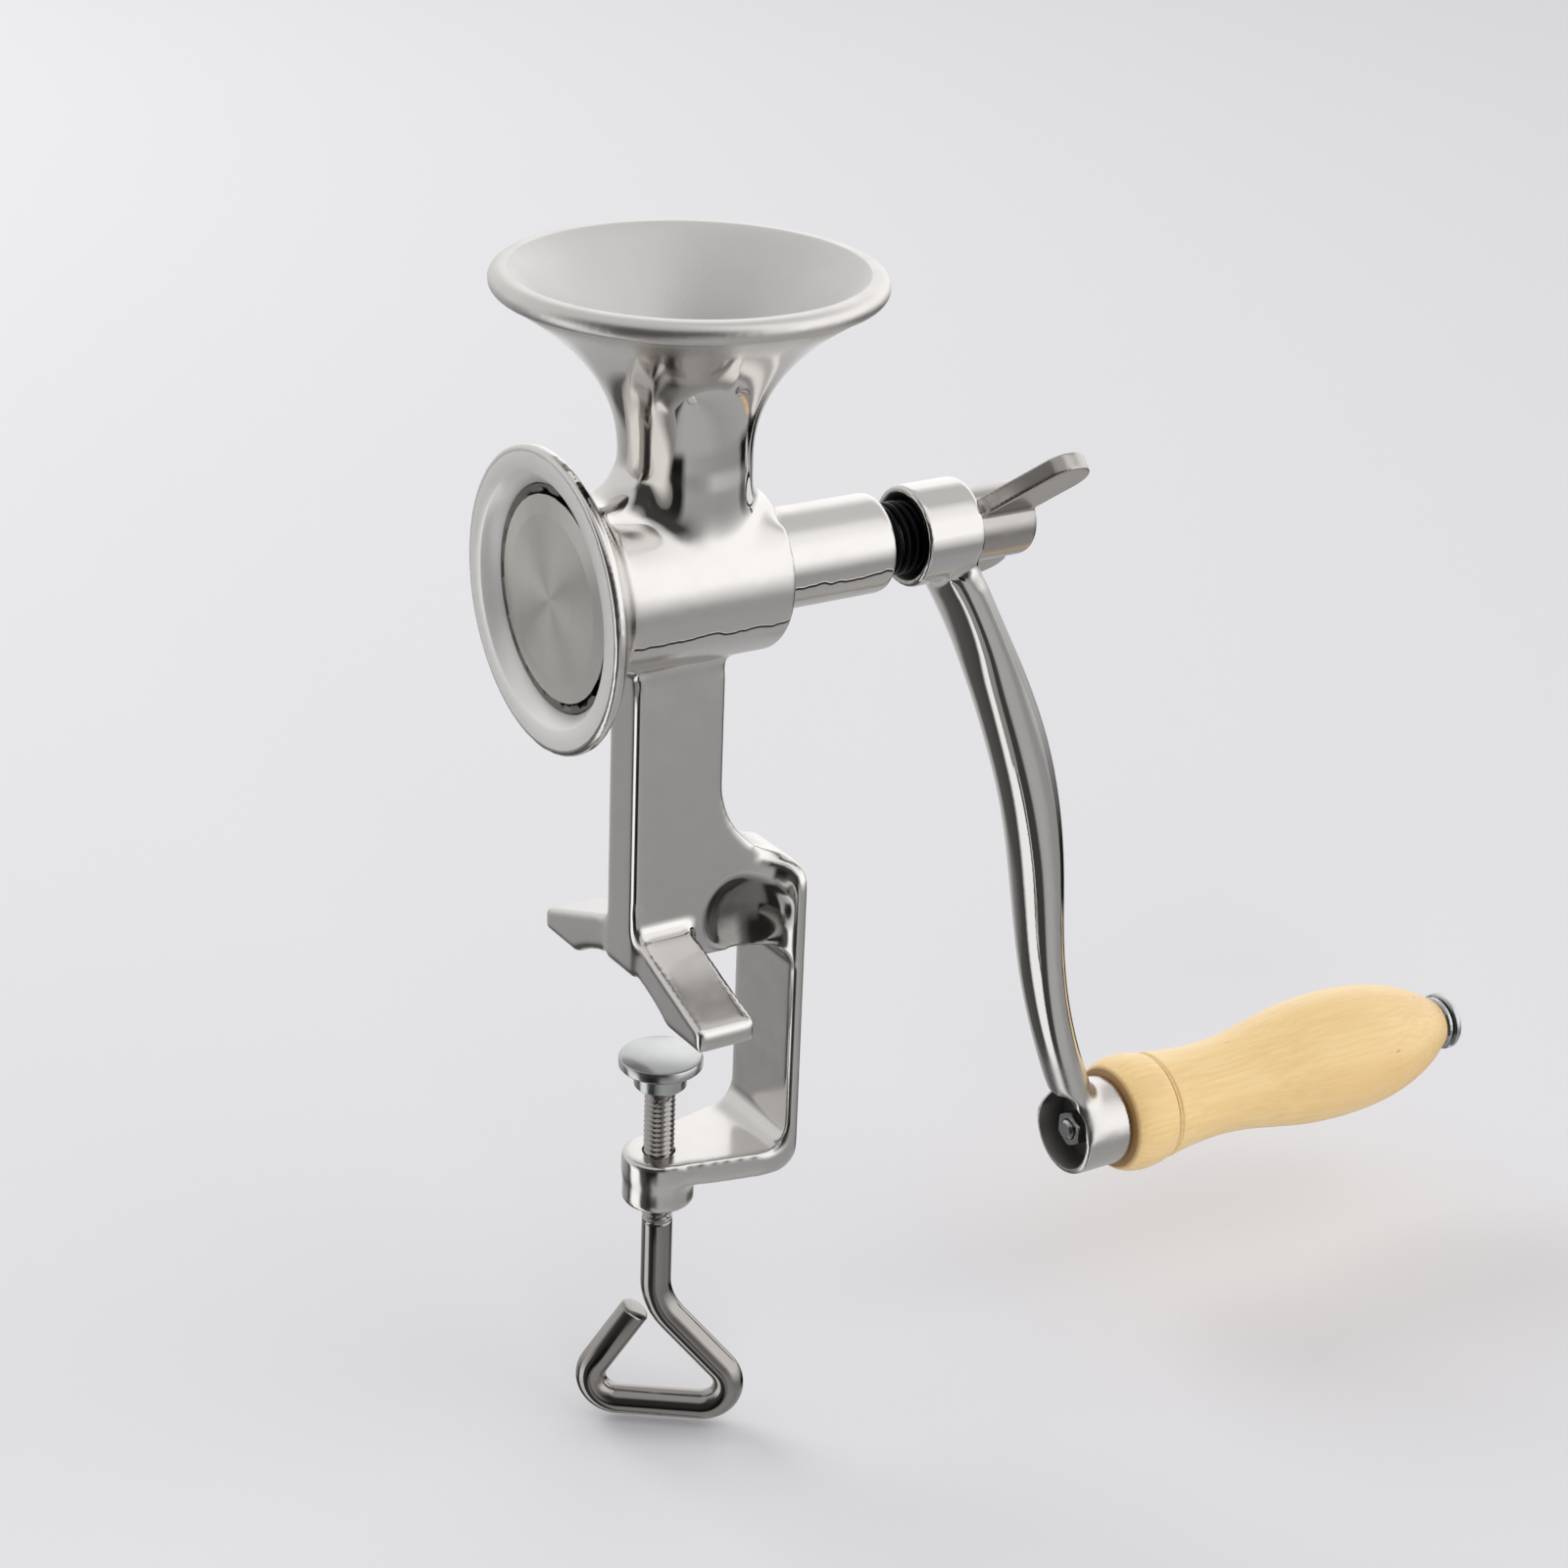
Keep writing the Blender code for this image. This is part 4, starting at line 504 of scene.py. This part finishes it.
MIRROR = polished_casting("buffed_cast_alloy", "#D9D6D3", (0.05, 0.11), 9, 0.03, 0.0006,
                          by_height=((-58, 0.10), (5, 0.10), (16, 0.03), (28, 0.08), (74, 0.10), (80, 0.14),
                                     (106, 0.14), (112, 0.0), (150, 0.0), (156, 0.32)),
                          # The neck's seam is partly a painted dark reflection
                          seams=((-21.0, 17.0, 18.3, -23), (18.5, 46.5, 11.0, -17)),
                          # The scoop's measures place the painted shade in the web's hollows
                          scoop=((12.5, 12.5, 15.0), (11.3, 9.8, 12.3)))
SATIN = rough_casting("as_cast_alloy", "#D2D0CF", 0.45, 0.55, 0.05, 0.6)
# Darker alloy for the pockets' inner faces: painted shade in the recesses
POCKET = rough_casting("oily_as_cast_alloy", "#7A7774", 0.4, 0.55, 0.05, 0.8)
HEAD_SATIN = rough_casting("dished_head_as_cast", "#E9E7E5", 0.36, 0.45, 0.03, 0.55)
ARM_MIRROR = polished_casting("buffed_crank_alloy", "#D6D3D0", (0.03, 0.08), 7, 0.015, 0.0004,
                              by_height=((-60, 0.22), (-50, 0.22), (-38, 0.0)))
NUT_METAL = polished_casting("tumbled_nut_alloy", "#B4B0AD", (0.16, 0.28), 4, 0.02, 0.003)
ROTOR = turned_metal("faced_grinding_steel", "#DEDBD6", "#CFCCC7", 0.4, 0.25, 0.004)
BURR = turned_metal("cut_burr_steel", "#8F8C88", "#7B7875", 0.4, 0.3, 0.005)
WORM_STEEL = rough_casting("cast_worm_steel", "#8E8B87", 0.45, 0.5, 0.05)
SHAFT_STEEL = turned_metal("turned_shaft_steel", "#A8A5A1", "#97948F", 0.3, 0.3, 0.003)
BRONZE = turned_metal("sintered_bearing_bronze", "#B98A4B", "#A0733B", 0.35, 0.4, 0.003)
ZINC = smooth_steel("bright_zinc_plate", "#C2C3C3", 0.2)
ROD = smooth_steel("zinc_plated_rod", "#A29E9B", 0.11)
BLACK = smooth_steel("oiled_black_spring_steel", "#1B1B1D", 0.3)
WOOD = varnished_beech("varnished_beech")


# Cast body

THROAT = 121.2


def trumpet(start, end, steps, low_radius, high_radius, high, power):
    """Part of an outline, from start to end, that widens above the throat as a power of the height."""
    points = []
    for i in range(steps + 1):
        height = start + (end - start) * i / steps
        share = max(0.0, (height - THROAT) / (high - THROAT))
        points.append((height, low_radius + (high_radius - low_radius) * share ** power))
    return points


def leg_and_jaw():
    """Leg, web, clamp arm and jaw as one form. The jaw's boss is a form of its own."""
    inner, outer, half_width = 23.8, 27.0, 13.1
    profile = [(-13.8, 5.2), (-13.8, AXIS), (8.1, AXIS)] + arc(28.8, 48.0, 20.7, 180, 250, 24)
    profile += rounded_corner(profile[-1], (outer, 26.6), (outer, 0), 5.0, 10)
    profile += [(outer, 0), (inner, 0)] + arc(19.8, 2.0, 4.0, 0, 90, 8) + [(0.3, 6.8)]
    leg = slab("leg", profile, -27, 27)
    # In plan the web bends outwards, from the leg's half width to the clamp arm's
    quarter = [radians(a) for a in range(0, 91, 9)]
    upper = [(-16, 6.3)] + [(13.0 + 10.8 * sin(a), 6.3 + 6.8 * (1 - cos(a))) for a in quarter]
    upper += [(31, half_width)]
    plan = slab("leg plan", upper + [(u, -v) for u, v in reversed(upper)], -2, 97, "XY")
    combined(leg, plan, "INTERSECT")
    for side in (-1, 1):
        corner = [(side * 6.5, 31)] + [(side * (6.5 + 6.6 * sin(a)), 20.6 + 6.6 * cos(a)) for a in quarter]
        corner += [(side * 16, 20.6), (side * 16, 31)]
        cut(leg, slab("arm corner", corner, 8.1, 31, "YZ"))
    front, upper_face, lower_face = -13.0, -43.5, -49.7
    outline = [(inner, 14.0), (outer, 14.0)]
    outline += rounded_corner((outer, 0), (outer, lower_face), (0, lower_face), 6.0)
    outline += [(front, lower_face), (front, upper_face)]
    outline += rounded_corner((0, upper_face), (inner, upper_face), (inner, 0), 5.2)
    jaw = slab("jaw", outline, -27, 27)
    tongue = [(31, half_width), (17.8, half_width)]
    tongue += [(SCREW + u, v) for u, v in arc(0, 0, 8.5, 100, 260, 20)]
    tongue += [(17.8, -half_width), (31, -half_width)]
    plan = slab("jaw plan", tongue, -52, 30, "XY")
    combined(jaw, plan, "INTERSECT")
    combined(leg, jaw)
    for side in (-1, 1):
        cut(leg, ball("web scoop", (12.5, side * 12.5, 15.0), (11.0, 9.5, 12.0)))
    return leg


def feet():
    """Two feet that stand on the board, with a low arch between them."""
    right = [(34.7, 0), (34.7, 4.4), (33.9, 5.2), (8.3, 14.6), (6.7, 15.9), (5.5, 18.6)]
    half_span, rise = 20.0, 6.3
    radius = (half_span ** 2 + rise ** 2) / (2 * rise)
    sweep = asin(half_span / radius)
    angles = [sweep * (i / 10 - 1) for i in range(21)]
    arch = [(radius * sin(a), rise - radius * (1 - cos(a))) for a in angles]
    return slab("feet", right + [(-u, v) for u, v in reversed(right)] + arch, -13.5, 0.6, "YZ")


def cast_body():
    """Hopper, barrel, dished head, leg, feet and clamp arm, cast in one."""
    hopper = [(AXIS, 0), (AXIS, 14.5), (112, 14.5), (117, 14.35)]
    hopper += trumpet(THROAT, 155.6, 44, 14.2, 38.9, 156, 2.27) + [(156.1, 38.75)]
    hopper += [(z, r) for r, z in arc(38.55, 158.5, 2.45, -66, 88, 12)]
    hopper += [(160.95, 37.6), (160.95, 0)]
    barrel = [(-33.9, 0), (-33.9, 31.7), (-33.65, 32.35), (-33.0, 32.6), (-32.1, 32.6), (-31.5, 32.35),
              (-31.2, 31.7), (-30.7, 31.2), (-30.2, 30.7)]
    barrel += [(-24.2, 21.3), (-23.3, 20.0), (-22.6, 19.1), (-21.6, 18.5), (-20.4, 18.3)]
    barrel += [(16.2, 18.3), (16.85, 18.1), (17.2, 17.6), (17.25, 16.9), (17.25, 12.6), (17.6, 11.6),
               (18.6, 11.0)]
    barrel += [(46.0, 11.0), (46.9, 10.8), (47.5, 10.2), (47.8, 9.4), (47.8, 0)]
    saddle = [(-8.5, 109.0), (-8.5, 119.5)] + arc(-22.0, 123.4, 8.8, -25, -110, 8) + [(-28.5, 109.0)]
    boss = [(-46.6, 0), (-46.6, 8.2), (-55.2, 8.2), (-56.0, 7.4), (-56.0, 0)]
    forms = [turned("barrel", barrel), turned("hopper", hopper, "Z", (0, 0, 0)),
             slab("saddle", saddle, -7.0, 7.0), leg_and_jaw(), feet(),
             turned("jaw boss", boss, "Z", (SCREW, 0, 0), 64)]
    body = casting("cast_body", forms, voxel=0.66, fillet=(4.5, 22), edge_passes=16,
                   soft=("saddle", "leg", "feet"), wide=("barrel", "hopper"), wide_fillet=(9.0, 150))
    painted(body, MIRROR)
    cavity = [(163, 0), (163, 37.6), (161.1, 37.6), (160.9, 36.9), (160.5, 36.1)]
    cavity += trumpet(159.8, THROAT, 30, 10.2, 35.0, 159.8, 1.9) + [(96.4, 10.2), (96.4, 0)]
    cut(body, painted(turned("grain space", cavity, "Z", (0, 0, 0)), SATIN))
    recess = [(-36, 0), (-36, 31.6), (-33.88, 31.6), (-33.88, 27.2), (-33.6, 26.8), (-30.7, 24.3),
              (-28.1, 24.3), (-23.6, 16.4), (-23.6, 14.0), (12.75, 14.0), (12.75, 7.9), (50, 7.9), (50, 0)]
    cut(body, painted(turned("grinding recess", recess), HEAD_SATIN))
    hole = [(-40, 0), (-40, 3.85), (-58, 3.85), (-58, 0)]
    cut(body, painted(turned("jaw hole", hole, "Z", (SCREW, 0, 0), 48), SATIN))
    smooth_shaded(body, 62)
    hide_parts("mill_body")
    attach(body, "mill_body")


# Crank

# Share of the arm's curve, half width over 8.0 mm and half thickness over 4.5 mm
ARM_SHARES = [(0.026, 1.36, 1.20), (0.048, 1.36, 1.16), (0.075, 1.32, 1.14), (0.110, 1.26, 1.18),
              (0.170, 1.18, 1.34), (0.260, 1.16, 1.42), (0.380, 1.12, 1.34), (0.500, 1.08, 1.22),
              (0.620, 1.00, 1.10), (0.740, 0.92, 1.04), (0.840, 0.86, 1.02), (0.895, 0.84, 1.02),
              (0.935, 0.84, 1.06), (0.960, 0.86, 1.10), (0.990, 0.86, 1.10)]


def arm_curve(t):
    """Place and direction of the arm's middle line in the XZ plane, from the boss to the eye."""
    start, end = Vector((62.9, AXIS)), Vector((119.35, EYE))
    lean, eye_lean = radians(30.8), radians(26.0)
    first = start + 107.3 * Vector((sin(lean), -cos(lean)))
    second = end - 79.9 * Vector((sin(eye_lean), -cos(eye_lean)))
    u = 1 - t
    place = u ** 3 * start + 3 * u * u * t * first + 3 * u * t * t * second + t ** 3 * end
    slope = u * u * (first - start) + 2 * u * t * (second - first) + t * t * (end - second)
    return place, slope.normalized()


def nut_room():
    """The space that the wing nut sweeps as it turns beside the boss."""
    outline = [(70.32, 0), (70.32, 8.0), (71.0, 9.2), (74.1, 14.0), (78.3, 20.2), (80.6, 23.4),
               (82.3, 25.4), (85.0, 27.2), (110, 27.2), (110, 0)]
    return painted(turned("nut room", outline, steps=96), ARM_MIRROR)


def crank():
    """Boss, curved arm and eye, cast in one and buffed."""
    boss = turned("boss", [(55.5, 0), (55.5, 10.9), (55.9, 11.3), (69.2, 11.3), (69.9, 11.05), (70.3, 10.4),
                           (70.3, 0)], steps=128)
    at_eye = (0, 0, EYE)
    eye = turned("eye", [(112.65, 0), (112.65, 10.5), (113.2, 11.15), (125.4, 11.15), (126.05, 10.5),
                         (126.05, 0)], centre=at_eye, steps=128)
    rings = []
    points_per_ring = 96
    for t, width, thickness in flowing(ARM_SHARES, 8):
        place, slope = arm_curve(t)
        across = Vector((-slope.y, slope.x))
        ring = []
        for i in range(points_per_ring):
            angle = 2 * pi * i / points_per_ring
            rise = 4.5 * thickness * cos(angle)
            ring.append(Vector((place.x + across.x * rise, 8.0 * width * sin(angle),
                                place.y + across.y * rise)) * MM)
        rings.append(ring)
    arm = lofted("arm", rings)
    cut(arm, nut_room())
    eye_face = [(70.3, 0), (70.3, 11.3), (112.8, 11.3), (112.8, 0)]
    cut(arm, turned("eye face", eye_face, centre=at_eye, steps=96))
    piece = casting("buffed_crank", [boss, arm, eye], voxel=0.5, fillet=(4.5, 60), edge_passes=3,
                    wide=("arm", "eye"), wide_fillet=(6.0, 120))
    painted(piece, ARM_MIRROR)
    cut(piece, nut_room())
    # The spring pocket and the eye pocket have their faces painted darker, as shade
    pocket = [(53, 0), (53, 9.9), (55.5, 9.9), (55.8, 9.5), (62.5, 9.5), (62.5, 0)]
    cut(piece, painted(turned("spring pocket", pocket, steps=96), POCKET))
    half_square = 4.3
    square = [(u * half_square, AXIS + v * half_square) for u, v in ((-1, -1), (1, -1), (1, 1), (-1, 1))]
    cut(piece, painted(slab("square bore", square, 60, 73, "YZ"), SATIN))
    pocket = [(110, 0), (110, 9.9), (112.65, 9.9), (112.9, 9.65), (120.15, 9.65), (120.15, 0)]
    cut(piece, painted(turned("eye pocket", pocket, centre=at_eye, steps=96), POCKET))
    bore = [(118, 0), (118, 2.7), (128, 2.7), (128, 0)]
    cut(piece, painted(turned("eye bore", bore, centre=at_eye, steps=48), SATIN))
    smooth_shaded(piece, 62)
    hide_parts("crank_arm")
    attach(piece, "crank")


# Wing nut

def wing_nut():
    """Round boss and two flat wings, tumbled smooth."""
    boss = turned("nut boss", [(70.6, 0), (70.6, 7.9), (71.0, 8.3), (84.9, 8.3), (85.8, 8.05), (86.3, 7.5),
                               (86.5, 6.7), (86.5, 0)], steps=96)
    # A wing is a round tip and the two tangents to it from its root
    tip, radius = Vector((86.7, 20.0)), 6.2
    lower, upper = Vector((70.9, 7.6)), Vector((85.7, 7.6))
    away = tip - lower
    start = atan2(away.y, away.x) + pi / 2 + asin(radius / away.length)
    away = tip - upper
    end = atan2(away.y, away.x) - pi / 2 - asin(radius / away.length)
    outline = [(70.9, 3.8), tuple(lower)]
    for i in range(21):
        angle = start + (end - start) * i / 20
        outline.append((tip.x + radius * cos(angle), tip.y + radius * sin(angle)))
    outline += [tuple(upper), (85.7, 3.8)]
    forms = [boss]
    for name, side in (("upper wing", 1), ("lower wing", -1)):
        forms.append(slab(name, [(u, AXIS + side * v) for u, v in outline], -2.15, 2.15))
    piece = casting("tumbled_wing_nut", forms, voxel=0.34, fillet=(1.6, 12), edge_passes=5,
                    soft=("upper wing", "lower wing"))
    painted(piece, NUT_METAL)
    hole = [(68, 0), (68, 4.9), (70.6, 4.9), (71.2, 4.25), (85.9, 4.25), (86.5, 4.9), (89, 4.9), (89, 0)]
    cut(piece, painted(turned("nut hole", hole, steps=64), SATIN))
    tilt = Matrix.Translation((0, 0, AXIS * MM)) @ Matrix.Rotation(radians(45), 4, "X")
    piece.data.transform(tilt @ Matrix.Translation((0, 0, -AXIS * MM)))
    smooth_shaded(piece, 62)
    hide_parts("wing_nut")
    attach(piece, "nut")


# Grip and its screw

# Shares of the grip's length and of its largest radius, for the bead and for the body past the groove
GRIP_BEAD = [(0.0, 0.765), (0.012, 0.835), (0.032, 0.880), (0.058, 0.897), (0.090, 0.880), (0.112, 0.848)]
GRIP_GROOVE = [(0.118, 0.832), (0.1225, 0.80), (0.127, 0.80), (0.1315, 0.826)]
GRIP_BODY = [(0.137, 0.824), (0.200, 0.768), (0.290, 0.735), (0.380, 0.775), (0.470, 0.875), (0.560, 0.968),
             (0.650, 1.000), (0.740, 0.982), (0.820, 0.908), (0.890, 0.780), (0.945, 0.625), (0.985, 0.470),
             (1.000, 0.410)]


def grip():
    """Beech grip turned with a bead and a burnt groove at the crank end."""
    start, length_x, radius, bore = 126.35, 105.9, 16.3, 4.3
    shares = flowing(GRIP_BEAD, 6) + GRIP_GROOVE + flowing(GRIP_BODY, 6)
    outline = [(start, bore)] + [(start + length_x * a, radius * r) for a, r in shares]
    outline += [(start + length_x, bore), (start, bore)]
    piece = turned("turned_beech_grip", outline, centre=(0, 0, EYE), steps=128)
    painted(piece, WOOD)
    smooth_shaded(piece, 40)
    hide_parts("wooden_grip")
    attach(piece, "grip")


def grip_screw():
    """Screw through the grip, with a flanged head, and its end in the eye."""
    head = 234.75
    outline = [(113.35, 0), (113.35, 1.9), (113.85, 2.4), (head, 2.4), (head, 7.0), (head + 0.35, 7.4),
               (head + 1.5, 7.4), (head + 1.85, 7.15), (head + 2.0, 6.3)]
    for angle in (0, 25, 45, 62, 76):
        outline.append((head + 2.0 + 2.2 * sin(radians(angle)), 5.4 * cos(radians(angle)) ** 0.6 + 0.4))
    outline += [(head + 4.2, 0)]
    piece = turned("flanged_grip_screw", outline, centre=(0, 0, EYE), steps=96)
    painted(piece, ZINC)
    smooth_shaded(piece, 40)
    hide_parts("handle_bolt")
    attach(piece, "crank")


# Spring

def spring():
    """Black compression spring between the neck and the crank's pocket."""
    first, last, radius, wire, turns = 49.0, 61.3, 7.3, 0.9, 5.5
    bpy.ops.object.select_all(action="DESELECT")
    bpy.ops.curve.primitive_bezier_curve_add()
    piece = bpy.context.object
    piece.name = "black_adjusting_spring"
    curve = piece.data
    curve.splines.clear()
    path = curve.splines.new("POLY")
    steps = round(turns * 24)
    coil = []
    for i in range(steps + 1):
        angle = 2 * pi * turns * i / steps
        along = first + (last - first) * i / steps
        coil.append(Vector((along, radius * cos(angle), AXIS + radius * sin(angle))))
    # A short straight tail lies at each end
    head = coil[0] - Vector((0, 0, 2 * wire))
    tail = coil[-1] + (coil[-1] - coil[-2]).normalized() * 2 * wire
    points = [head] + coil + [tail]
    path.points.add(len(points) - 1)
    for spot, point in zip(path.points, points):
        spot.co = (*(point * MM), 1.0)
    curve.dimensions = "3D"
    curve.bevel_depth = wire * MM
    curve.bevel_resolution = 5
    curve.use_fill_caps = True
    select_only(piece)
    bpy.ops.object.convert(target="MESH")
    piece = bpy.context.object
    painted(piece, BLACK)
    smooth_shaded(piece, 60)
    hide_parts("adjusting_spring")
    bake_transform(piece)


# Clamp

def clamp_pad():
    """Round pad with a neck that holds the rod's ball in a socket."""
    outline = [(-19.1, 0), (-19.1, 8.9), (-19.3, 9.3), (-19.7, 9.5), (-21.3, 9.5), (-21.7, 9.2),
               (-21.75, 8.6), (-21.9, 6.7), (-22.3, 6.2), (-26.3, 6.0), (-26.85, 5.5), (-26.9, 5.0),
               (-26.9, 2.4)]
    for angle in (43, 60, 80, 100, 120, 140, 160):
        outline.append((-24.9 - 3.5 * cos(radians(angle)), 3.5 * sin(radians(angle))))
    outline += [(-21.4, 0)]
    piece = turned("turned_clamp_pad", outline, "Z", (SCREW, 0, 0), 96)
    painted(piece, ZINC)
    smooth_shaded(piece, 35)
    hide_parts("clamp_pad")
    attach(piece, "pad")


def clamp_rod():
    """Ball end, rolled thread and a three-cornered loop bent from the same rod."""
    rod = 3.55
    bend, bottom, ball_centre = -83.1, -111.0, -24.9
    near, far = radians(43.0), radians(31.5)
    near_corner = (91.9 - 64.0) * tan(near)
    corner = Vector((-19.8, bottom))
    normal, toward = Vector((cos(near), sin(near))), Vector((sin(far), cos(far)))
    # The rod's end leaves a gap of 1.3 mm to the side of the loop that it comes back to
    standoff = rod * (1 + cos(near + far)) + 1.3
    reach = ((Vector((0, bend)) - corner).dot(normal) - standoff) / toward.dot(normal)
    end = corner + toward * reach
    corners = [Vector((0, ball_centre)), Vector((0, bend)), Vector((near_corner, bottom)), corner, end]
    loop = []
    for i, radius in ((1, 15.0), (2, 6.5), (3, 6.5)):
        loop += rounded_corner(corners[i - 1], corners[i], corners[i + 1], radius, 14)
    loop = [Vector(p) for p in loop] + [end]
    shank = -62.0
    path = [Vector((0, shank - (shank - loop[0].y) * i / 3)) for i in range(3)] + loop
    turn = radians(-36)
    rings = []

    def add_ring(point, across, radii):
        """A ring about a point of the rod's plane, with one radius for each of its 40 places."""
        ring = []
        for k, radius in enumerate(radii):
            angle = 2 * pi * k / len(radii)
            side = radius * cos(angle)
            u, v = point[0] + across[0] * side, point[1] + across[1] * side
            w = radius * sin(angle)
            x, y = u * cos(turn) - w * sin(turn), u * sin(turn) + w * cos(turn)
            ring.append(Vector((SCREW + x, y, v)) * MM)
        rings.append(ring)

    count = 40
    level = (1, 0)
    angles = [radians(a) for a in (8, 30, 55, 80, 105, 125, 139)]
    ball_end = [(ball_centre + 3.2 * cos(a), 3.2 * sin(a)) for a in angles]
    for height, radius in ball_end + [(-27.6, 2.1), (-27.8, 2.9), (-28.4, 3.35)]:
        add_ring((0, height), level, [radius] * count)
    # Rolled thread, 0.6 mm deep, with 8 rings to a turn
    first, last, pitch = -28.6, -61.8, 1.25
    height = first
    while height > last:
        radii = []
        for k in range(count):
            phase = (k / count - (height - first) / pitch) % 1.0
            radii.append(rod - 0.62 * abs(2 * phase - 1) * min(1.0, (height - last) / 1.5))
        add_ring((0, height), level, radii)
        height -= pitch / 8
    for i, point in enumerate(path):
        before = path[i - 1] if i else Vector((0, -55))
        after = path[i + 1] if i + 1 < len(path) else point + (point - before)
        ahead = ((point - before).normalized() + (after - point).normalized()).normalized()
        add_ring(point, (-ahead.y, ahead.x), [rod] * count)
    ahead = (path[-1] - path[-2]).normalized()
    for forward, radius in ((0.35, 3.3), (0.6, 2.7)):
        add_ring(path[-1] + ahead * forward, (-ahead.y, ahead.x), [radius] * count)
    piece = lofted("bent_clamp_rod", rings)
    painted(piece, ROD)
    smooth_shaded(piece, 50)
    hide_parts("clamp_screw")
    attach(piece, "screw")


# Pieces that keep their CAD shape

def repaint():
    for node, finish in (("fixed_burr_ring", BURR), ("neck_bush", BRONZE), ("grinding_cone", ROTOR),
                         ("cone_pin", ZINC), ("feed_worm", WORM_STEEL), ("worm_pin", ZINC),
                         ("thrust_washer", BRONZE), ("drive_shaft", SHAFT_STEEL), ("grip_sleeve", ZINC),
                         ("bolt_end_washer", ZINC), ("lock_washer", ZINC), ("handle_nut", ZINC)):
        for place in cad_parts[node].material_slots:
            place.material = finish


# Studio

CAMERA_SIDE = -32.70


def room():
    """A soft grey room that lights the mill and shows in its metal."""
    world = bpy.context.scene.world or bpy.data.worlds.new("studio")
    bpy.context.scene.world = world
    world.use_nodes = True
    tree = world.node_tree
    tree.nodes.clear()
    way = add_node(tree, "ShaderNodeTexCoord").outputs["Generated"]
    sides = split(tree, mapped(tree, way, Rotation=(0, 0, radians(-CAMERA_SIDE))))
    # Around the room, 0 and 1 lie behind the object, 0.5 at the camera and 0.75 on the camera's right
    angle = calculated(tree, "ARCTAN2", sides["X"], calculated(tree, "MULTIPLY", sides["Y"], -1.0))
    around = ranged(tree, angle, -pi, pi)
    # Under and low, grey panels with dark gaps and a white strip; high and over, a broad white window
    under = ramp(tree, around, [
        (0.0, 0.5), (0.08, 0.45), (0.11, 0.11), (0.22, 0.07), (0.245, 1.2), (0.335, 1.2), (0.35, 0.06),
        (0.43, 0.06), (0.46, 0.46), (0.5, 0.52), (0.62, 0.50), (0.70, 0.42), (0.97, 0.54), (1.0, 0.45)])
    low = ramp(tree, around, [
        (0.0, 0.85), (0.06, 0.6), (0.15, 0.42), (0.19, 0.37), (0.205, 0.05), (0.235, 0.05), (0.255, 1.4),
        (0.335, 1.4), (0.345, 0.08), (0.40, 0.07), (0.41, 0.012), (0.49, 0.010), (0.515, 0.48), (0.56, 0.44),
        (0.66, 0.39), (0.79, 0.36), (0.815, 0.012), (0.925, 0.02), (0.95, 0.5), (1.0, 0.85)])
    high = ramp(tree, around, [
        (0.0, 1.35), (0.05, 0.95), (0.12, 0.85), (0.27, 0.8), (0.34, 0.12), (0.42, 0.05), (0.55, 0.06),
        (0.60, 0.4), (0.65, 1.4), (0.82, 1.35), (1.0, 1.35)])
    over = ramp(tree, around, [
        (0.0, 0.66), (0.1, 0.7), (0.3, 0.7), (0.55, 0.6), (0.64, 1.2), (0.74, 1.2), (0.80, 0.72),
        (1.0, 0.70)])
    # Each belt of the room goes over into the next between two heights on the unit sphere
    walls = under
    for belt, start, end in ((low, -0.60, -0.48), (high, -0.36, 0.05), (over, 0.50, 0.72)):
        walls = mixed(tree, ranged(tree, sides["Z"], start, end), walls, belt)
    glow = add_node(tree, "ShaderNodeBackground", {"Strength": 1.0, "Color": walls})
    add_node(tree, "ShaderNodeOutputWorld", {"Surface": glow.outputs[0]})


def studio():
    """Pale floor, a soft room, three soft lamps that no metal shows, and the photograph's camera."""
    bpy.ops.object.select_all(action="DESELECT")
    bpy.ops.mesh.primitive_plane_add(size=60, location=(0, 0, -0.1158))
    floor = bpy.context.object
    floor.name = "floor"
    bpy.ops.object.transform_apply(location=True, rotation=True, scale=True)
    painted(floor, new_finish("matt_floor_paper", "#DDDCDF", 0.0, 0.9)[0])
    floor.visible_glossy = False
    room()

    target = Vector((0.05, 0, 0.03))
    for name, place, power, size in (("right softbox", (1.0, -0.55, 1.35), 1, 0.7),
                                     ("front softbox", (-0.6, -1.45, 0.3), 9, 0.7),
                                     ("back softbox", (-0.6, 1.9, 1.3), 20, 1.4)):
        bpy.ops.object.light_add(type="AREA", location=place)
        lamp = bpy.context.object
        lamp.name = name
        lamp.data.energy = power
        lamp.data.shape = "SQUARE"
        lamp.data.size = size
        lamp.visible_glossy = False
        lamp.rotation_euler = (target - Vector(place)).to_track_quat("-Z", "Y").to_euler()

    sight = bpy.data.cameras.new("camera")
    sight.lens = 78.75
    sight.sensor_width = 36
    sight.clip_start = 0.01
    sight.clip_end = 50
    camera = bpy.data.objects.new("camera", sight)
    bpy.context.collection.objects.link(camera)
    side, lift, roll = radians(CAMERA_SIDE), radians(23.88), radians(2.23)
    right = Vector((cos(side), sin(side), 0))
    forward = Vector((-sin(side) * cos(lift), cos(side) * cos(lift), -sin(lift)))
    up = right.cross(forward)
    across = cos(roll) * right + sin(roll) * up
    upright = -sin(roll) * right + cos(roll) * up
    stand = Matrix.Translation((-0.34633, -0.58221, 0.34726))
    camera.matrix_world = stand @ Matrix((across, upright, -forward)).transposed().to_4x4()
    bpy.context.scene.camera = camera
    bpy.context.scene.view_settings.view_transform = "Standard"


cast_body()
crank()
wing_nut()
grip()
grip_screw()
spring()
clamp_pad()
clamp_rod()
repaint()
studio()
